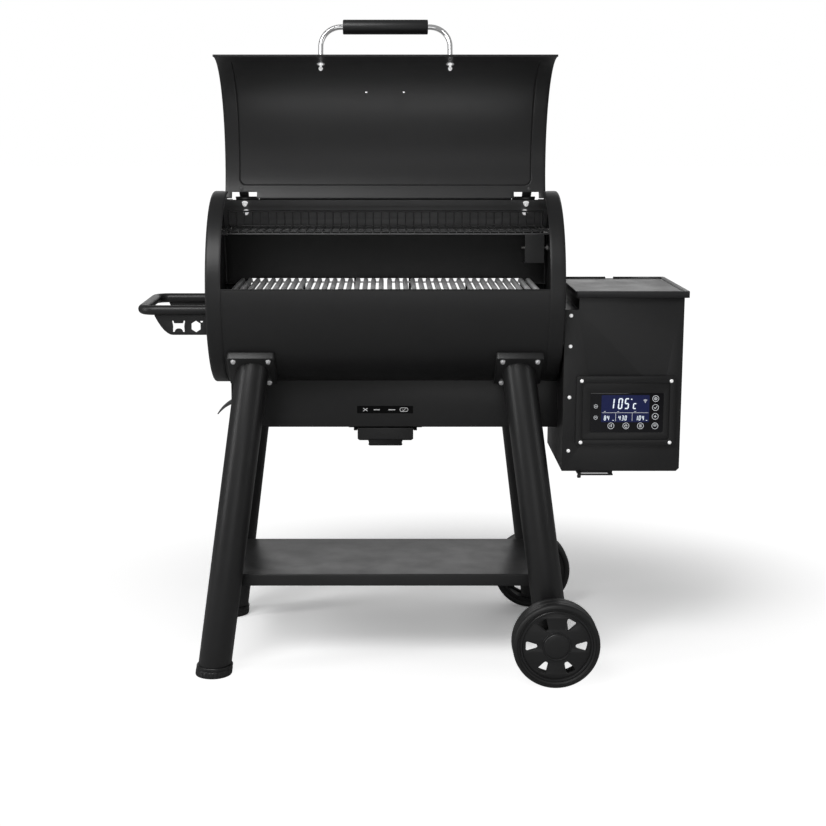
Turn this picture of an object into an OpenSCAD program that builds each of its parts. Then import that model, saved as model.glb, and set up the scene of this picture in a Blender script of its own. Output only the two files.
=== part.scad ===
// Pellet smoker grill: a barrel chamber on four splayed legs, with a pellet hopper on its right end.
// It is drawn with X to the right from the middle of the barrel, Y to the back and Z up from the
// floor. placed() then moves every piece sideways, so that the origin is under the middle of the
// whole grill. The lid is drawn shut and then turned up about its hinge, which is its rest pose.

/* [Barrel] */
// Outer radius of the rim bands at the barrel's ends
barrel_r = 223; // [221:1:225]
// Length of the barrel over its end caps
barrel_len = 800; // [790:1:820]
// Height of the barrel's axis above the floor
axis_z = 873; // [870:1:880]
// Width of each end cap's rim band
rim_w = 35; // [30:1:40]
// Thickness of the sheet steel
sheet = 1.5; // [1.2:0.1:1.5]
// Angle of the opening's front edge, from the back horizontal
opening_front = 175.6; // [172:0.1:177]
// Angle of the opening's back edge, from the back horizontal
opening_back = 64; // [60:0.5:64]

/* [Lid] */
// Length of the lid
lid_len = 750; // [748:1:752]
// Radius of the lid's inner face
lid_r = 225; // [225:0.5:226]
// Angle of the lid's back edge when shut
lid_back = 64.5; // [64.5:0.1:66]
// Angle of the lid's front edge when shut
lid_front = 179.7; // [178:0.1:181]
// Angle that the lid stands open at rest
lid_open = 88; // [80:1:90]
// Distance of the lid hinge behind the barrel's axis
hinge_y = 60; // [59:0.5:61]
// Height of the lid hinge above the barrel's axis
hinge_up = 243.5; // [243:0.5:245]
// Distance of each lid hinge from the middle
hinge_x = 337; // [334:1:340]

/* [Grates] */
// Number of bars in each cooking grate
bar_count = 19; // [15:1:19]
// Distance between the middles of two bars
bar_pitch = 19.1; // [18:0.1:19.1]
// Height of the warming rack above the barrel's axis
rack_up = 135; // [125:1:137]

/* [Stand] */
// Distance of each foot from the middle of the barrel, sideways
foot_x = 397; // [390:1:400]
// Distance of each foot from the middle of the barrel, front to back
foot_y = 226.6; // [224:0.2:228]
// How far a leg leans in for each unit of height, sideways
lean_x = 0.1333; // [0.12:0.001:0.14]
// How far a leg leans in for each unit of height, front to back
lean_y = 0.1243; // [0.12:0.001:0.13]
// Radius of the leg tube
leg_r = 38; // [37:0.1:38]
// Height of the bottom shelf's top
shelf_z = 218; // [210:1:240]

/* [Wheels] */
// Radius of the tyre
wheel_r = 98.4; // [96:0.1:99]
// Width of the wheel
wheel_w = 60; // [58:0.5:62]
// Distance of a wheel's inner side from the middle
wheel_in = 268; // [266:0.1:270]
// Radius of the axle
axle_r = 8; // [6:0.5:9]

/* [Hopper] */
// Left side of the hopper
hop_left = 404; // [404:0.5:406]
// Right side of the hopper
hop_right = 673; // [670:1:680]
// Front of the hopper's fascia
hop_front = -168; // [-170:0.5:-168]
// Back of the hopper
hop_back = 154; // [154:1:160]
// Underside of the hopper
hop_low = 466.5; // [464:0.5:468]
// Top edge of the hopper's walls
hop_top = 875; // [875:0.5:877]

/* [Hidden] */
$fn = 64;

end_x = barrel_len / 2;
rim_x = end_x - rim_w;
shell_out_r = barrel_r - sheet - 0.1;
shell_in_r = shell_out_r - sheet;
cap_corner = 6;
relief_x = lid_len / 2 + 3;
relief_a0 = 63.4;
relief_a1 = 92;
lid_out_r = lid_r + sheet;
hinge_z = axis_z + hinge_up;
pot_r = 48;
housing_left = -361;
housing_half = 60;
housing_low = 548;
housing_top = 658;
auger_z = 612;
auger_tube_r = 30;
auger_r = 25.5;
tray_half = 64.5;
bracket_x = 304;
bracket_tilt = 40.4;
bracket_out = 232;
bracket_bolt_at = [[-39.5, 42], [39.5, 42], [-37, -49], [37, -49]];
vent_x = [[-335, -205], [-199, -78], [-72, 58], [64, 199], [205, 335]];
vent_z = [798, 874];
handle_y = 126;
handle_z = 832.5;
handle_tube_r = 11.2;
handle_end_x = -556;
handle_low = 775.6;
lid_handle_a = 157;
lid_handle_x = 144;
lid_handle_r = 315;
lid_tube_r = 6;
plate_a = 130.6;
strap_gap = 0.5;
lug_half = 10.5;
rack_z = axis_z + rack_up;
rack_front = -55;
rack_back = 105;
shelf_x = 366;
shelf_y = 158;
wheel_x = foot_x - lean_x * wheel_r;
rim_r = 83;
lid2_y = 162;
lid2_z = 868;
lid2_left = 427;
lid2_right = 683;
lid2_front = -178;
lid2_back = 160;
lid2_lugs = [475, 630];
gate_x = [446, 516];
left_extent = handle_end_x - handle_tube_r;
middle_x = (left_extent + lid2_right) / 2;

steel_black = [0.13, 0.13, 0.135];
dark = [0.08, 0.08, 0.085];
bright = [0.75, 0.75, 0.76];
grey = [0.45, 0.45, 0.46];

function polar(r, a) = [r * cos(a), r * sin(a)];

// Moves a piece from the barrel's frame to the grill's own origin.
module placed() { translate([-middle_x, 0, 0]) children(); }

// Extrudes an outline drawn in Y and Z along X.
module along_x(x0, x1) {
  translate([x0, 0, 0]) rotate([90, 0, 90]) linear_extrude(x1 - x0) children();
}

// Extrudes an outline drawn in X and Z along Y.
module along_y(y0, y1) {
  translate([0, y1, 0]) rotate([90, 0, 0]) linear_extrude(y1 - y0) children();
}

// A box between two corners.
module box(low, high) { translate(low) cube(high - low); }

// A pie slice from angle a0 to a1.
module slice(r, a0, a1) {
  steps = ceil((a1 - a0) / 40);
  step = (a1 - a0) / steps;
  polygon(concat([[0, 0]], [for (i = [0:steps]) polar(r / cos(step / 2), a0 + i * step)]));
}

// A bent strip of sheet from angle a0 to a1, between two radii.
module arc_strip(r_in, r_out, a0, a1) {
  difference() {
    intersection() {
      circle(r_out);
      slice(r_out + 5, a0, a1);
    }
    circle(r_in);
  }
}

// A rectangle with rounded corners.
module round_rect(x0, y0, x1, y1, r) {
  translate([x0 + r, y0]) square([x1 - x0 - 2 * r, y1 - y0]);
  translate([x0, y0 + r]) square([x1 - x0, y1 - y0 - 2 * r]);
  for (x = [x0 + r, x1 - r])
    for (y = [y0 + r, y1 - r]) translate([x, y]) circle(r);
}

// Raises an outline in Y and Z to the barrel's axis.
module at_axis() { translate([0, 0, axis_z]) children(); }

// A cylinder along X about the barrel's axis.
module barrel_round(r, x0 = -450, x1 = 450) {
  at_axis() along_x(x0, x1) circle(r);
}

// Puts a piece on both sides, or all four corners, by mirroring.
module both_sides() {
  children();
  mirror([1, 0, 0]) children();
}
module both_ends() {
  children();
  mirror([0, 1, 0]) children();
}

// Turns a piece so that its Z points out from the barrel's axis at angle a.
module radial(a, x = 0) { translate([x, 0, axis_z]) rotate([a - 90, 0, 0]) children(); }

// ---- Cooking chamber ----

// Room that the lid's back corners swing through.
module rim_relief() {
  at_axis() along_x(-relief_x, relief_x) slice(260, relief_a0, relief_a1);
}

module bracket_bolt_holes(r) {
  both_sides() both_ends() at_bracket()
    for (p = bracket_bolt_at) translate([p.x, p.y, -250]) cylinder(r = r, h = 80);
}

hinge_bolt_a = [60.5, 50];
module hinge_bolt_holes(r) {
  both_sides() for (a = hinge_bolt_a)
    radial(a, hinge_x) translate([0, 0, 190]) cylinder(r = r, h = 60);
}

module barrel_shell() color(steel_black) difference() {
  union() {
    at_axis() along_x(-end_x + cap_corner + 0.2, end_x - cap_corner - 0.2) difference() {
      circle(shell_out_r);
      circle(shell_in_r);
    }
    // Turned-up lip along the opening's rear edge, between the hinges
    at_axis() along_x(2 - notch_x[0], notch_x[0] - 2)
      arc_strip(shell_in_r, shell_out_r + 2.9, opening_back - 0.5, opening_back);
  }
  at_axis() along_x(-rim_x, rim_x) slice(260, opening_back, opening_front);
  rim_relief();
  translate([0, 0, 600]) cylinder(r = pot_r + 2, h = 100);
  bracket_bolt_holes(3.3);
  hinge_bolt_holes(3.3);
  for (x = vent_x) box([x[0], 150, vent_z[0]], [x[1], 260, vent_z[1]]);
}

module cap_outline(r, depth, corner) {
  square([r, depth - corner]);
  square([r - corner, depth]);
  translate([r - corner, depth - corner]) circle(corner);
}

// A pressed end pan: a flat disc with a pressed ring, and the rim band that wraps the shell.
module end_cap() {
  difference() {
    translate([rim_x, 0, axis_z]) rotate([0, 90, 0]) rotate_extrude() {
      difference() {
        cap_outline(barrel_r, rim_w, cap_corner);
        square([barrel_r - sheet, rim_w - cap_corner]);
        square([barrel_r - cap_corner, rim_w - sheet]);
        translate([barrel_r - cap_corner, rim_w - cap_corner]) circle(cap_corner - sheet);
      }
    }
    rim_relief();
  }
}
module left_end_cap() color(steel_black) mirror([1, 0, 0]) end_cap();
module right_end_cap() color(steel_black) end_cap();

grate_top = axis_z;
grate_low = grate_top - 11;
grate_half = 205;

// Rails the grates lie on; the rear one is left out in front of the vents.
module grate_rails() color(steel_black) difference() {
  both_ends() intersection() {
    box([-end_x + 4, grate_half - 13, grate_low - 2.1], [end_x - 4, 230, grate_low - 0.1]);
    barrel_round(shell_in_r - 0.1);
  }
  for (x = vent_x) box([x[0], 150, vent_z[0]], [x[1], 260, vent_z[1]]);
}

// One cooking grate: tapered bars from front to back over four cross bars.
module grate() {
  for (i = [0:bar_count - 1]) {
    x = bar_pitch * (i + 0.5) + 0.6;
    along_y(-grate_half, grate_half)
      polygon([[x - 5.4, grate_low + 1], [x + 5.4, grate_low + 1], [x + 6, grate_low + 4],
        [x + 2.2, grate_top], [x - 2.2, grate_top], [x - 6, grate_low + 4]]);
  }
  for (y = [-grate_half + 3, -104, -2, grate_half - 9])
    box([bar_pitch / 2, y, grate_low], [bar_pitch * (bar_count - 0.5), y + 6, grate_low + 3]);
}
module cooking_grate_left() color(grey) mirror([1, 0, 0]) grate();
module cooking_grate_right() color(grey) grate();

rack_wire = 3;
rack_half = 378;
rack_guard = 37;
rack_lip = 10;

// The warming rack: wires bent from the back guard, over the floor, to a lip at the front.
module warming_rack() color(dark) {
  wires = 39;
  pitch = (2 * rack_half - rack_wire) / wires;
  for (i = [0:wires])
    along_x(-rack_half + i * pitch, -rack_half + i * pitch + rack_wire)
      polygon([[rack_front, rack_z - rack_lip], [rack_front + rack_wire, rack_z - rack_lip],
        [rack_front + rack_wire, rack_z - rack_wire], [rack_back, rack_z - rack_wire],
        [rack_back, rack_z + rack_guard], [rack_back - rack_wire, rack_z + rack_guard],
        [rack_back - rack_wire, rack_z], [rack_front, rack_z]]);
  rails = [[rack_front, rack_z - rack_lip], [rack_front + 50, rack_z - 2 * rack_wire],
    [rack_back - 55, rack_z - 2 * rack_wire], [rack_back - rack_wire, rack_z + rack_guard - 4],
    [rack_back - rack_wire, rack_z - rack_wire]];
  for (p = rails) box([-rack_half, p.x, p.y], [rack_half, p.x + 4, p.y + 4]);
}

module rack_studs() color(bright) both_sides()
  for (y = [rack_front + 20, rack_back - 25])
    translate([rack_half - 12, y, rack_z - rack_wire - 4.3]) rotate([0, 90, 0]) {
      cylinder(r = 4, h = end_x - sheet - 0.2 - rack_half + 12);
      cylinder(r = 6, h = 2);
    }

module heat_diffuser() color(steel_black) {
  half = 180;
  low = 748;
  high = 776;
  along_x(-350, 350)
    polygon([[-half, low], [0, high], [half, low], [half, low + 2], [0, high + 2], [-half, low + 2]]);
  for (x = [-340, 338])
    along_x(x, x + 2) polygon([[-150, low - 8], [150, low - 8], [150, low + 4.2], [0, high - 0.2],
      [-150, low + 4.2]]);
}

guard_x = [341, 388];
guard_z = [914, 988];
module probe_guard() color(dark) intersection() {
  difference() {
    box([guard_x[0], 160, guard_z[0]], [guard_x[1], 240, guard_z[1]]);
    box([guard_x[0] - 1, 162, guard_z[0] + 2], [guard_x[1] + 1, 250, guard_z[1] - 2]);
  }
  barrel_round(shell_in_r - 0.1);
}

module temp_probe() color(bright) translate([333, 173, 951]) rotate([0, 90, 0]) {
  cylinder(r = 3.2, h = end_x - sheet - 0.2 - 333);
  translate([0, 0, end_x - sheet - 0.2 - 333 - 5]) cylinder(r = 8, h = 5, $fn = 6);
}

// Hood over the smoke slots at the back, open along its underside.
module exhaust_hood() color(steel_black) difference() {
  along_x(-345, 345) polygon([[150, 900], [250, 880], [250, 872], [150, 872]]);
  along_x(-343.5, 343.5) polygon([[140, 900.4], [248.5, 878.7], [248.5, 860], [140, 860]]);
  barrel_round(shell_out_r + 0.05);
}

// Curved grease chute, with a short side wall on each edge, out of the housing's left end.
module grease_spout() color(grey) {
  spout_r = 90;
  translate([housing_left + 39, 0, 526]) intersection() {
    union() {
      along_y(-24, 0) arc_strip(spout_r - 1.5, spout_r, 105, 150);
      for (y = [-24, -1.5]) along_y(y, y + 1.5) difference() {
        arc_strip(spout_r - 10, spout_r, 105, 128);
        polygon([polar(spout_r - 1.5, 136), polar(spout_r - 10, 124), polar(spout_r - 20, 130)]);
      }
    }
    box([-100, -40, 0], [-39.2, 40, 100]);
  }
}

// ---- Fire, feed and ash ----

module burner_housing() color(steel_black) difference() {
  box([housing_left, -housing_half, housing_low], [hop_left - 0.3, housing_half, housing_top]);
  box([housing_left + sheet, -housing_half + sheet, housing_low + sheet],
    [hop_left + 5, housing_half - sheet, 700]);
  barrel_round(barrel_r + 0.05, -450, end_x + 0.1);
  translate([0, 0, 540]) cylinder(r = 38, h = 20);
}

pot_low = housing_low + sheet + 0.1;
module fire_pot() color(grey) difference() {
  translate([0, 0, pot_low]) cylinder(r = pot_r, h = 690 - pot_low);
  translate([0, 0, pot_low + 3]) cylinder(r = pot_r - 2.5, h = 150);
  translate([30, 0, auger_z]) rotate([0, 90, 0]) cylinder(r = auger_tube_r + 0.1, h = 30);
  translate([30, 0, 562]) rotate([0, 90, 0]) cylinder(r = 5.2, h = 30);
  for (a = [0:60:300]) rotate([0, 0, a]) translate([22, 0, 540]) cylinder(r = 5, h = 20);
  for (a = [30:40:350]) rotate([0, 0, a]) translate([30, 0, 665]) rotate([0, 90, 0])
    cylinder(r = 3, h = 30);
}

module igniter_rod() color(bright) translate([40, 0, 562]) rotate([0, 90, 0]) {
  cylinder(r = 5, h = 90);
  translate([0, 0, 90]) cylinder(r = 8, h = 14, $fn = 6);
}

auger_x0 = 40;
auger_x1 = 600;
inlet_x = [470, 530];
module auger_tube() color(grey) difference() {
  translate([auger_x0, 0, auger_z]) rotate([0, 90, 0])
    cylinder(r = auger_tube_r, h = auger_x1 - auger_x0);
  translate([auger_x0 - 1, 0, auger_z]) rotate([0, 90, 0])
    cylinder(r = auger_tube_r - 2, h = auger_x1 - auger_x0 + 2);
  box([inlet_x[0], -26, auger_z + 8], [inlet_x[1], 26, auger_z + 40]);
}

// A single twisted flight around its core.
module auger_screw() color(bright) {
  turns = 9;
  translate([auger_x0 + 12, 0, auger_z]) rotate([0, 90, 0])
    linear_extrude(auger_x1 - auger_x0 - 16, twist = -360 * turns, slices = turns * 9) {
      circle(7, $fn = 10);
      translate([0, -2]) square([auger_r, 4]);
    }
}

motor_x = [auger_x1 + 1, 664];
module auger_motor() color(dark) {
  box([motor_x[0], -30, auger_z - 30], [motor_x[0] + 22, 30, auger_z + 30]);
  translate([motor_x[0] + 22, 0, auger_z]) rotate([0, 90, 0])
    cylinder(r = 24, h = motor_x[1] - motor_x[0] - 22);
}

fan_y = 97;
fan_z = 560;
fan_x = [412, 452];
fan_r = 50;
module fan_housing() color(dark) difference() {
  union() {
    translate([fan_x[0], fan_y, fan_z]) rotate([0, 90, 0]) cylinder(r = fan_r, h = fan_x[1] - fan_x[0]);
    box([hop_left - 10, 30, 553], [fan_x[0] + 20, 56, 580]);
    translate([fan_x[1], fan_y, fan_z]) rotate([0, 90, 0]) cylinder(r = 19, h = 30);
  }
  translate([fan_x[0] + 2, fan_y, fan_z]) rotate([0, 90, 0])
    cylinder(r = fan_r - 2, h = fan_x[1] - fan_x[0] - 4);
  box([hop_left - 12, 32, 555], [fan_x[0] + 16, 54, 578]);
  for (a = [0:60:300])
    translate([0, fan_y, fan_z]) rotate([a, 0, 0]) translate([fan_x[1] - 5, 0, 29]) rotate([0, 90, 0])
      cylinder(r = 7, h = 10);
  translate([fan_x[0], fan_y, fan_z]) rotate([0, 90, 0]) cylinder(r = 4.06, h = 60);
}

module fan_impeller() color(grey) translate([fan_x[0] + 5, fan_y, fan_z]) rotate([0, 90, 0]) {
  difference() {
    cylinder(r = 44, h = 2);
    for (a = [0:90:270]) rotate([0, 0, a]) translate([24, 0, -1]) cylinder(r = 5, h = 4);
  }
  cylinder(r = 9, h = 26);
  cylinder(r = 4, h = 50);
  for (a = [0:30:330]) rotate([0, 0, a]) translate([30, -0.8, 0]) rotate([0, 0, 25]) cube([14, 1.6, 28]);
}

module ash_tray() color(dark) {
  low = 516;
  flange = 540.8;
  difference() {
    union() {
      box([-tray_half, -61, low], [tray_half, 61, flange + 1.6]);
      box([-tray_half - 6.5, -61, flange], [tray_half + 6.5, 61, flange + 1.6]);
      box([-tray_half - 1.5, -62.5, low + 3], [tray_half + 1.5, -61, 546]);
    }
    box([-tray_half + sheet, -59.5, low + sheet], [tray_half - sheet, 59.5, 560]);
  }
  intersection() {
    along_x(-41, 41) polygon([[-61, low + 3], [-61, low + 1], [-84, low - 9], [-86, low - 7],
      [-84, low - 6], [-62, low + 4]]);
    translate([0, 0, 400]) linear_extrude(200) round_rect(-41, -88, 41, -50, 10);
  }
}

module tray_rails() color(dark) both_sides() {
  x = tray_half + 8.5;
  box([x, -55, 539], [x + 1.5, 60, housing_low - 0.1]);
  box([x - 6, -55, 539], [x, 60, 540.5]);
  box([x + 1.5, -55, housing_low - 1.6], [x + 13, 60, housing_low - 0.1]);
}

// ---- Stand ----

// A cylinder along the axis of the right rear leg.
module leg_round(r) {
  lean = norm([lean_x, lean_y, 1]);
  translate([foot_x, foot_y, 0]) rotate([asin(lean_y / lean), -atan(lean_x), 0])
    translate([0, 0, -60]) cylinder(r = r, h = 900);
}

// The frame of the right rear bracket: Z points in to the barrel's axis, Y up its slope.
module at_bracket() { translate([bracket_x, 0, axis_z]) rotate([bracket_tilt, 0, 0]) children(); }

// A leg in the right rear corner, cut off level at its foot and against its bracket at its top.
module leg(cut_z, axle_hole) {
  difference() {
    leg_round(leg_r);
    leg_round(leg_r - 2);
    box([200, 0, -100], [600, 500, cut_z]);
    at_bracket() box([-250, -300, -bracket_out - 0.05], [250, 300, 400]);
    if (axle_hole)
      translate([wheel_x, 0, wheel_r]) rotate([-90, 0, 0]) cylinder(r = axle_r + 0.05, h = 400);
    translate([shelf_x - 10, 0, shelf_z - 15]) rotate([-90, 0, 0]) cylinder(r = 4.05, h = foot_y - 40);
  }
}
foot_cut = 5;
plug_cut = 58;
module leg_front_left() color(steel_black) mirror([1, 0, 0]) mirror([0, 1, 0]) leg(foot_cut, false);
module leg_rear_left() color(steel_black) mirror([1, 0, 0]) leg(foot_cut, false);
module leg_front_right() color(steel_black) mirror([0, 1, 0]) leg(plug_cut, true);
module leg_rear_right() color(steel_black) leg(plug_cut, true);

module leg_brackets() color(steel_black) difference() {
  both_sides() both_ends() at_bracket() difference() {
    box([-54, -60, -bracket_out], [54, 52, -190]);
    box([-51, -57, -bracket_out + 3], [51, 49, -180]);
  }
  barrel_round(shell_out_r + 0.05);
  bracket_bolt_holes(3.05);
}

// Hex flange bolts: four to a bracket, and those that hold the shelf.
module frame_bolts() color(bright) {
  both_sides() both_ends() at_bracket()
    for (p = bracket_bolt_at) translate([p.x, p.y, -bracket_out]) {
      translate([0, 0, -3]) cylinder(r = 3, h = 32);
      translate([0, 0, -2.1]) cylinder(r = 5.8, h = 2);
      translate([0, 0, -7]) cylinder(r = 5, h = 5, $fn = 6);
    }
  shelf_bolts();
}

module foot_caps() color(dark) mirror([1, 0, 0]) both_ends() difference() {
  intersection() {
    leg_round(leg_r + 4);
    box([200, 0, 0], [600, 500, 24]);
  }
  intersection() {
    leg_round(leg_r + 0.1);
    box([200, 0, foot_cut - 0.1], [600, 500, 100]);
  }
}

module leg_plugs() color(dark) both_ends() {
  intersection() {
    leg_round(leg_r);
    box([200, 0, plug_cut - 4], [600, 500, plug_cut - 0.1]);
  }
  intersection() {
    leg_round(leg_r - 2.1);
    box([200, 0, plug_cut - 4], [600, 500, plug_cut + 12]);
  }
}

module bottom_shelf() color(steel_black) difference() {
  box([-shelf_x, -shelf_y, shelf_z - 28], [shelf_x, shelf_y, shelf_z]);
  difference() {
    box([-shelf_x + sheet, -shelf_y + sheet, shelf_z - 30],
      [shelf_x - sheet, shelf_y - sheet, shelf_z - sheet]);
    for (y = [-60, 58.5]) box([-shelf_x, y, shelf_z - 16], [shelf_x, y + 1.5, shelf_z]);
  }
  both_sides() both_ends()
    translate([shelf_x - 10, shelf_y - 10, shelf_z - 15]) rotate([-90, 0, 0]) cylinder(r = 4.05, h = 20);
}

// Bolts from inside the shelf's flange into the legs, with a spacer collar between.
module shelf_bolts() difference() {
  both_sides() both_ends() translate([shelf_x - 10, shelf_y - 10, shelf_z - 15]) rotate([-90, 0, 0]) {
    translate([0, 0, 3.3]) cylinder(r = 7, h = 5, $fn = 6);
    translate([0, 0, 8]) cylinder(r = 4, h = 26);
    translate([0, 0, 10.1]) cylinder(r = 7, h = 20);
  }
  both_sides() both_ends() intersection() {
    difference() {
      leg_round(leg_r + 0.05);
      translate([shelf_x - 10, 0, shelf_z - 15]) rotate([-90, 0, 0]) cylinder(r = 4.02, h = 400);
    }
    box([300, 100, 150], [450, 300, 300]);
  }
}

module at_wheel() { translate([wheel_x, wheel_in, wheel_r]) rotate([-90, 0, 0]) children(); }

module wheel_axle() color(bright) translate([wheel_x, 0, wheel_r]) rotate([90, 0, 0])
  cylinder(r = axle_r, h = 2 * (wheel_in + wheel_w - 13), center = true);

module axle_spacers() color(dark) both_ends() difference() {
  at_wheel() translate([0, 0, -20]) cylinder(r = 13, h = 19.7);
  at_wheel() translate([0, 0, -25]) cylinder(r = axle_r + 0.02, h = 30);
  leg_round(leg_r + 0.05);
}

module tyre() at_wheel() rotate_extrude() difference() {
  round_rect(rim_r - 20, 0, wheel_r, wheel_w, 9);
  square([rim_r + 0.02, wheel_w]);
}

// Rim with its hub, six tapered openings and a domed hub cap over the axle's end.
module rim() at_wheel() difference() {
  rotate_extrude() {
    square([17, 52]);
    translate([0, 44]) square([rim_r - 4, 8]);
    translate([rim_r - 7, 4]) square([7, wheel_w - 8]);
    translate([0, 51]) square([33, 5]);
    translate([0, 55]) square([29, 4]);
  }
  translate([0, 0, -1]) cylinder(r = axle_r + 0.06, h = 51);
  for (a = [0:60:300]) rotate([0, 0, a]) translate([0, 0, 40]) linear_extrude(20)
    polygon([[43, -4], [69, -12], [69, 12], [43, 4]]);
}
module front_tyre() color(dark) mirror([0, 1, 0]) tyre();
module front_rim() color(dark) mirror([0, 1, 0]) rim();
module rear_tyre() color(dark) tyre();
module rear_rim() color(dark) rim();

handle_bend = 30;
module handle_path(r, past) {
  corner_x = handle_end_x + handle_bend;
  both_ends() {
    translate([corner_x, handle_y, handle_z]) rotate([0, 90, 0])
      cylinder(r = r, h = past - end_x - 0.3 - corner_x);
    translate([corner_x, handle_y - handle_bend, handle_z]) rotate([0, 0, 90])
      rotate_extrude(angle = 90) translate([handle_bend, 0]) circle(r);
  }
  translate([handle_end_x, 0, handle_z]) rotate([90, 0, 0])
    cylinder(r = r, h = 2 * (handle_y - handle_bend), center = true);
}

// Bent tube, open at its two ends against the end cap.
module side_handle() color(steel_black) difference() {
  handle_path(handle_tube_r, 0);
  handle_path(handle_tube_r - sheet, 1);
}

// Plate under a handle rail, with a tab that is screwed to the end cap.
module handle_plate() {
  difference() {
    union() {
      along_y(-handle_y - 1.5, -handle_y + 1.5) {
        polygon([[-528, 825], [-end_x - 0.3, 825], [-end_x - 0.3, handle_low], [-488, handle_low],
          [-497, handle_low + 5]]);
      }
      box([-end_x - 2.3, -handle_y, handle_low], [-end_x - 0.3, -handle_y + 30, 825]);
    }
    translate([-600, -handle_y, handle_z]) rotate([0, 90, 0]) cylinder(r = handle_tube_r + 0.05, h = 300);
  }
}

opener_x = -471.5;
opener_z = 795.5;
module handle_plate_front() color(steel_black) difference() {
  handle_plate();
  along_y(-handle_y - 3, -handle_y + 3) {
    difference() {
      translate([opener_x - 14.5, opener_z - 13]) square([29, 26]);
      translate([opener_x - 8.5, opener_z + 7]) square([17, 10]);
      translate([opener_x, opener_z - 17]) circle(10);
    }
    translate([opener_x + 39.5, opener_z - 0.5]) rotate(30) circle(r = 13, $fn = 6);
  }
  translate([opener_x + 52.5, -handle_y + 3, opener_z + 11.5]) rotate([90, 0, 0]) cylinder(r = 3, h = 6);
}
module handle_plate_rear() color(steel_black) mirror([0, 1, 0]) handle_plate();

// ---- Lid ----

// Turns the lid and what is on it from shut to its rest pose.
module opened() {
  translate([0, hinge_y, hinge_z]) rotate([-lid_open, 0, 0]) translate([0, -hinge_y, -hinge_z]) children();
}

notch_x = [hinge_x - 36, hinge_x + 22];
bracket_plate_a = [45, 67];

module lug_hole(r) {
  translate([hinge_x - 40, hinge_y, hinge_z]) rotate([0, 90, 0]) cylinder(r = r, h = 80);
}

// Hinge brackets on the barrel: a bent base plate and an upright lug with the pin's hole.
module hinge_brackets() color(steel_black) difference() {
  both_sides() difference() {
    union() {
      at_axis() along_x(notch_x[0] + 2, notch_x[1] - 2)
        arc_strip(shell_out_r + 0.1, shell_out_r + 2.6, bracket_plate_a[0], bracket_plate_a[1]);
      at_axis() along_x(hinge_x - lug_half, hinge_x + lug_half) {
        translate([hinge_y, hinge_up]) circle(9);
        polygon([polar(shell_out_r + 1, 52), polar(shell_out_r + 1, 63), [hinge_y - 5.9, hinge_up - 6.8],
          [hinge_y + 7, hinge_up + 5.6]]);
      }
    }
    lug_hole(4.02);
  }
  barrel_round(shell_out_r + 0.1);
  hinge_bolt_holes(3.05);
}

// Pins of the two lid hinges and of the hopper lid's two hinges.
module hinge_pins() color(bright) {
  both_sides()
    translate([hinge_x - 17, hinge_y, hinge_z]) rotate([0, 90, 0]) cylinder(r = 4, h = 34);
  for (x = lid2_lugs)
    translate([x - 14, lid2_y, lid2_z]) rotate([0, 90, 0]) cylinder(r = 2.5, h = 28);
}

// Hinge bolts with domed nuts inside the barrel.
module hinge_nuts() color(bright) both_sides() for (a = hinge_bolt_a) radial(a, hinge_x) {
  out = shell_out_r + 2.7;
  translate([0, 0, shell_in_r - 11]) cylinder(r = 3, h = out - shell_in_r + 11);
  difference() {
    translate([0, 0, shell_in_r - 6.5]) cylinder(r = 6, h = 6, $fn = 6);
    translate([0, 0, shell_in_r - 0.4]) cylinder(r = 7, h = 2);
  }
  intersection() {
    translate([0, 0, shell_in_r - 8]) sphere(5.2);
    translate([0, 0, shell_in_r - 16]) cylinder(r = 6, h = 10);
  }
}

module lid_shell() color(steel_black) opened() difference() {
  at_axis() along_x(-lid_len / 2, lid_len / 2) arc_strip(lid_r, lid_out_r, lid_back, lid_front);
  both_sides() at_axis() along_x(notch_x[0], notch_x[1]) slice(260, 55, 68.4);
  for (x = [-lid_handle_x, lid_handle_x])
    radial(lid_handle_a, x) translate([0, 0, 210]) cylinder(r = 3.3, h = 30);
  for (x = [-42.5, 42.5])
    radial(plate_a, x) translate([0, 0, 210]) cylinder(r = 1.6, h = 30);
}

// Straps on the lid's back, each with two lugs that hold the hinge pin.
module lid_straps() color(steel_black) opened() both_sides() difference() {
  union() {
    at_axis() along_x(hinge_x - 20, hinge_x + 20) arc_strip(lid_out_r + 0.1, lid_out_r + 2.1, 78, 95);
    at_axis() for (x = [-lug_half - strap_gap - 4, lug_half + strap_gap])
      along_x(hinge_x + x, hinge_x + x + 4) {
        translate([hinge_y, hinge_up]) circle(9);
        polygon([polar(lid_out_r + 1, 78), [hinge_y + 1, hinge_up - 8.7], [hinge_y - 2, hinge_up + 8.6],
          polar(lid_out_r + 1, 94)]);
      }
  }
  barrel_round(lid_out_r + 0.1);
  lug_hole(4.06);
}

// Plain plate on the lid's outside, on two pins.
module lid_plate() color(bright) opened() {
  at_axis() along_x(-62, 62) arc_strip(lid_out_r + 0.1, lid_out_r + 1.6, plate_a - 3.4, plate_a + 3.4);
  for (x = [-42.5, 42.5]) radial(plate_a, x) {
    translate([0, 0, lid_r - 3]) cylinder(r = 1.5, h = 5.2);
    translate([0, 0, lid_r - 3]) cylinder(r = 3, h = 1.5);
  }
}

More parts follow.
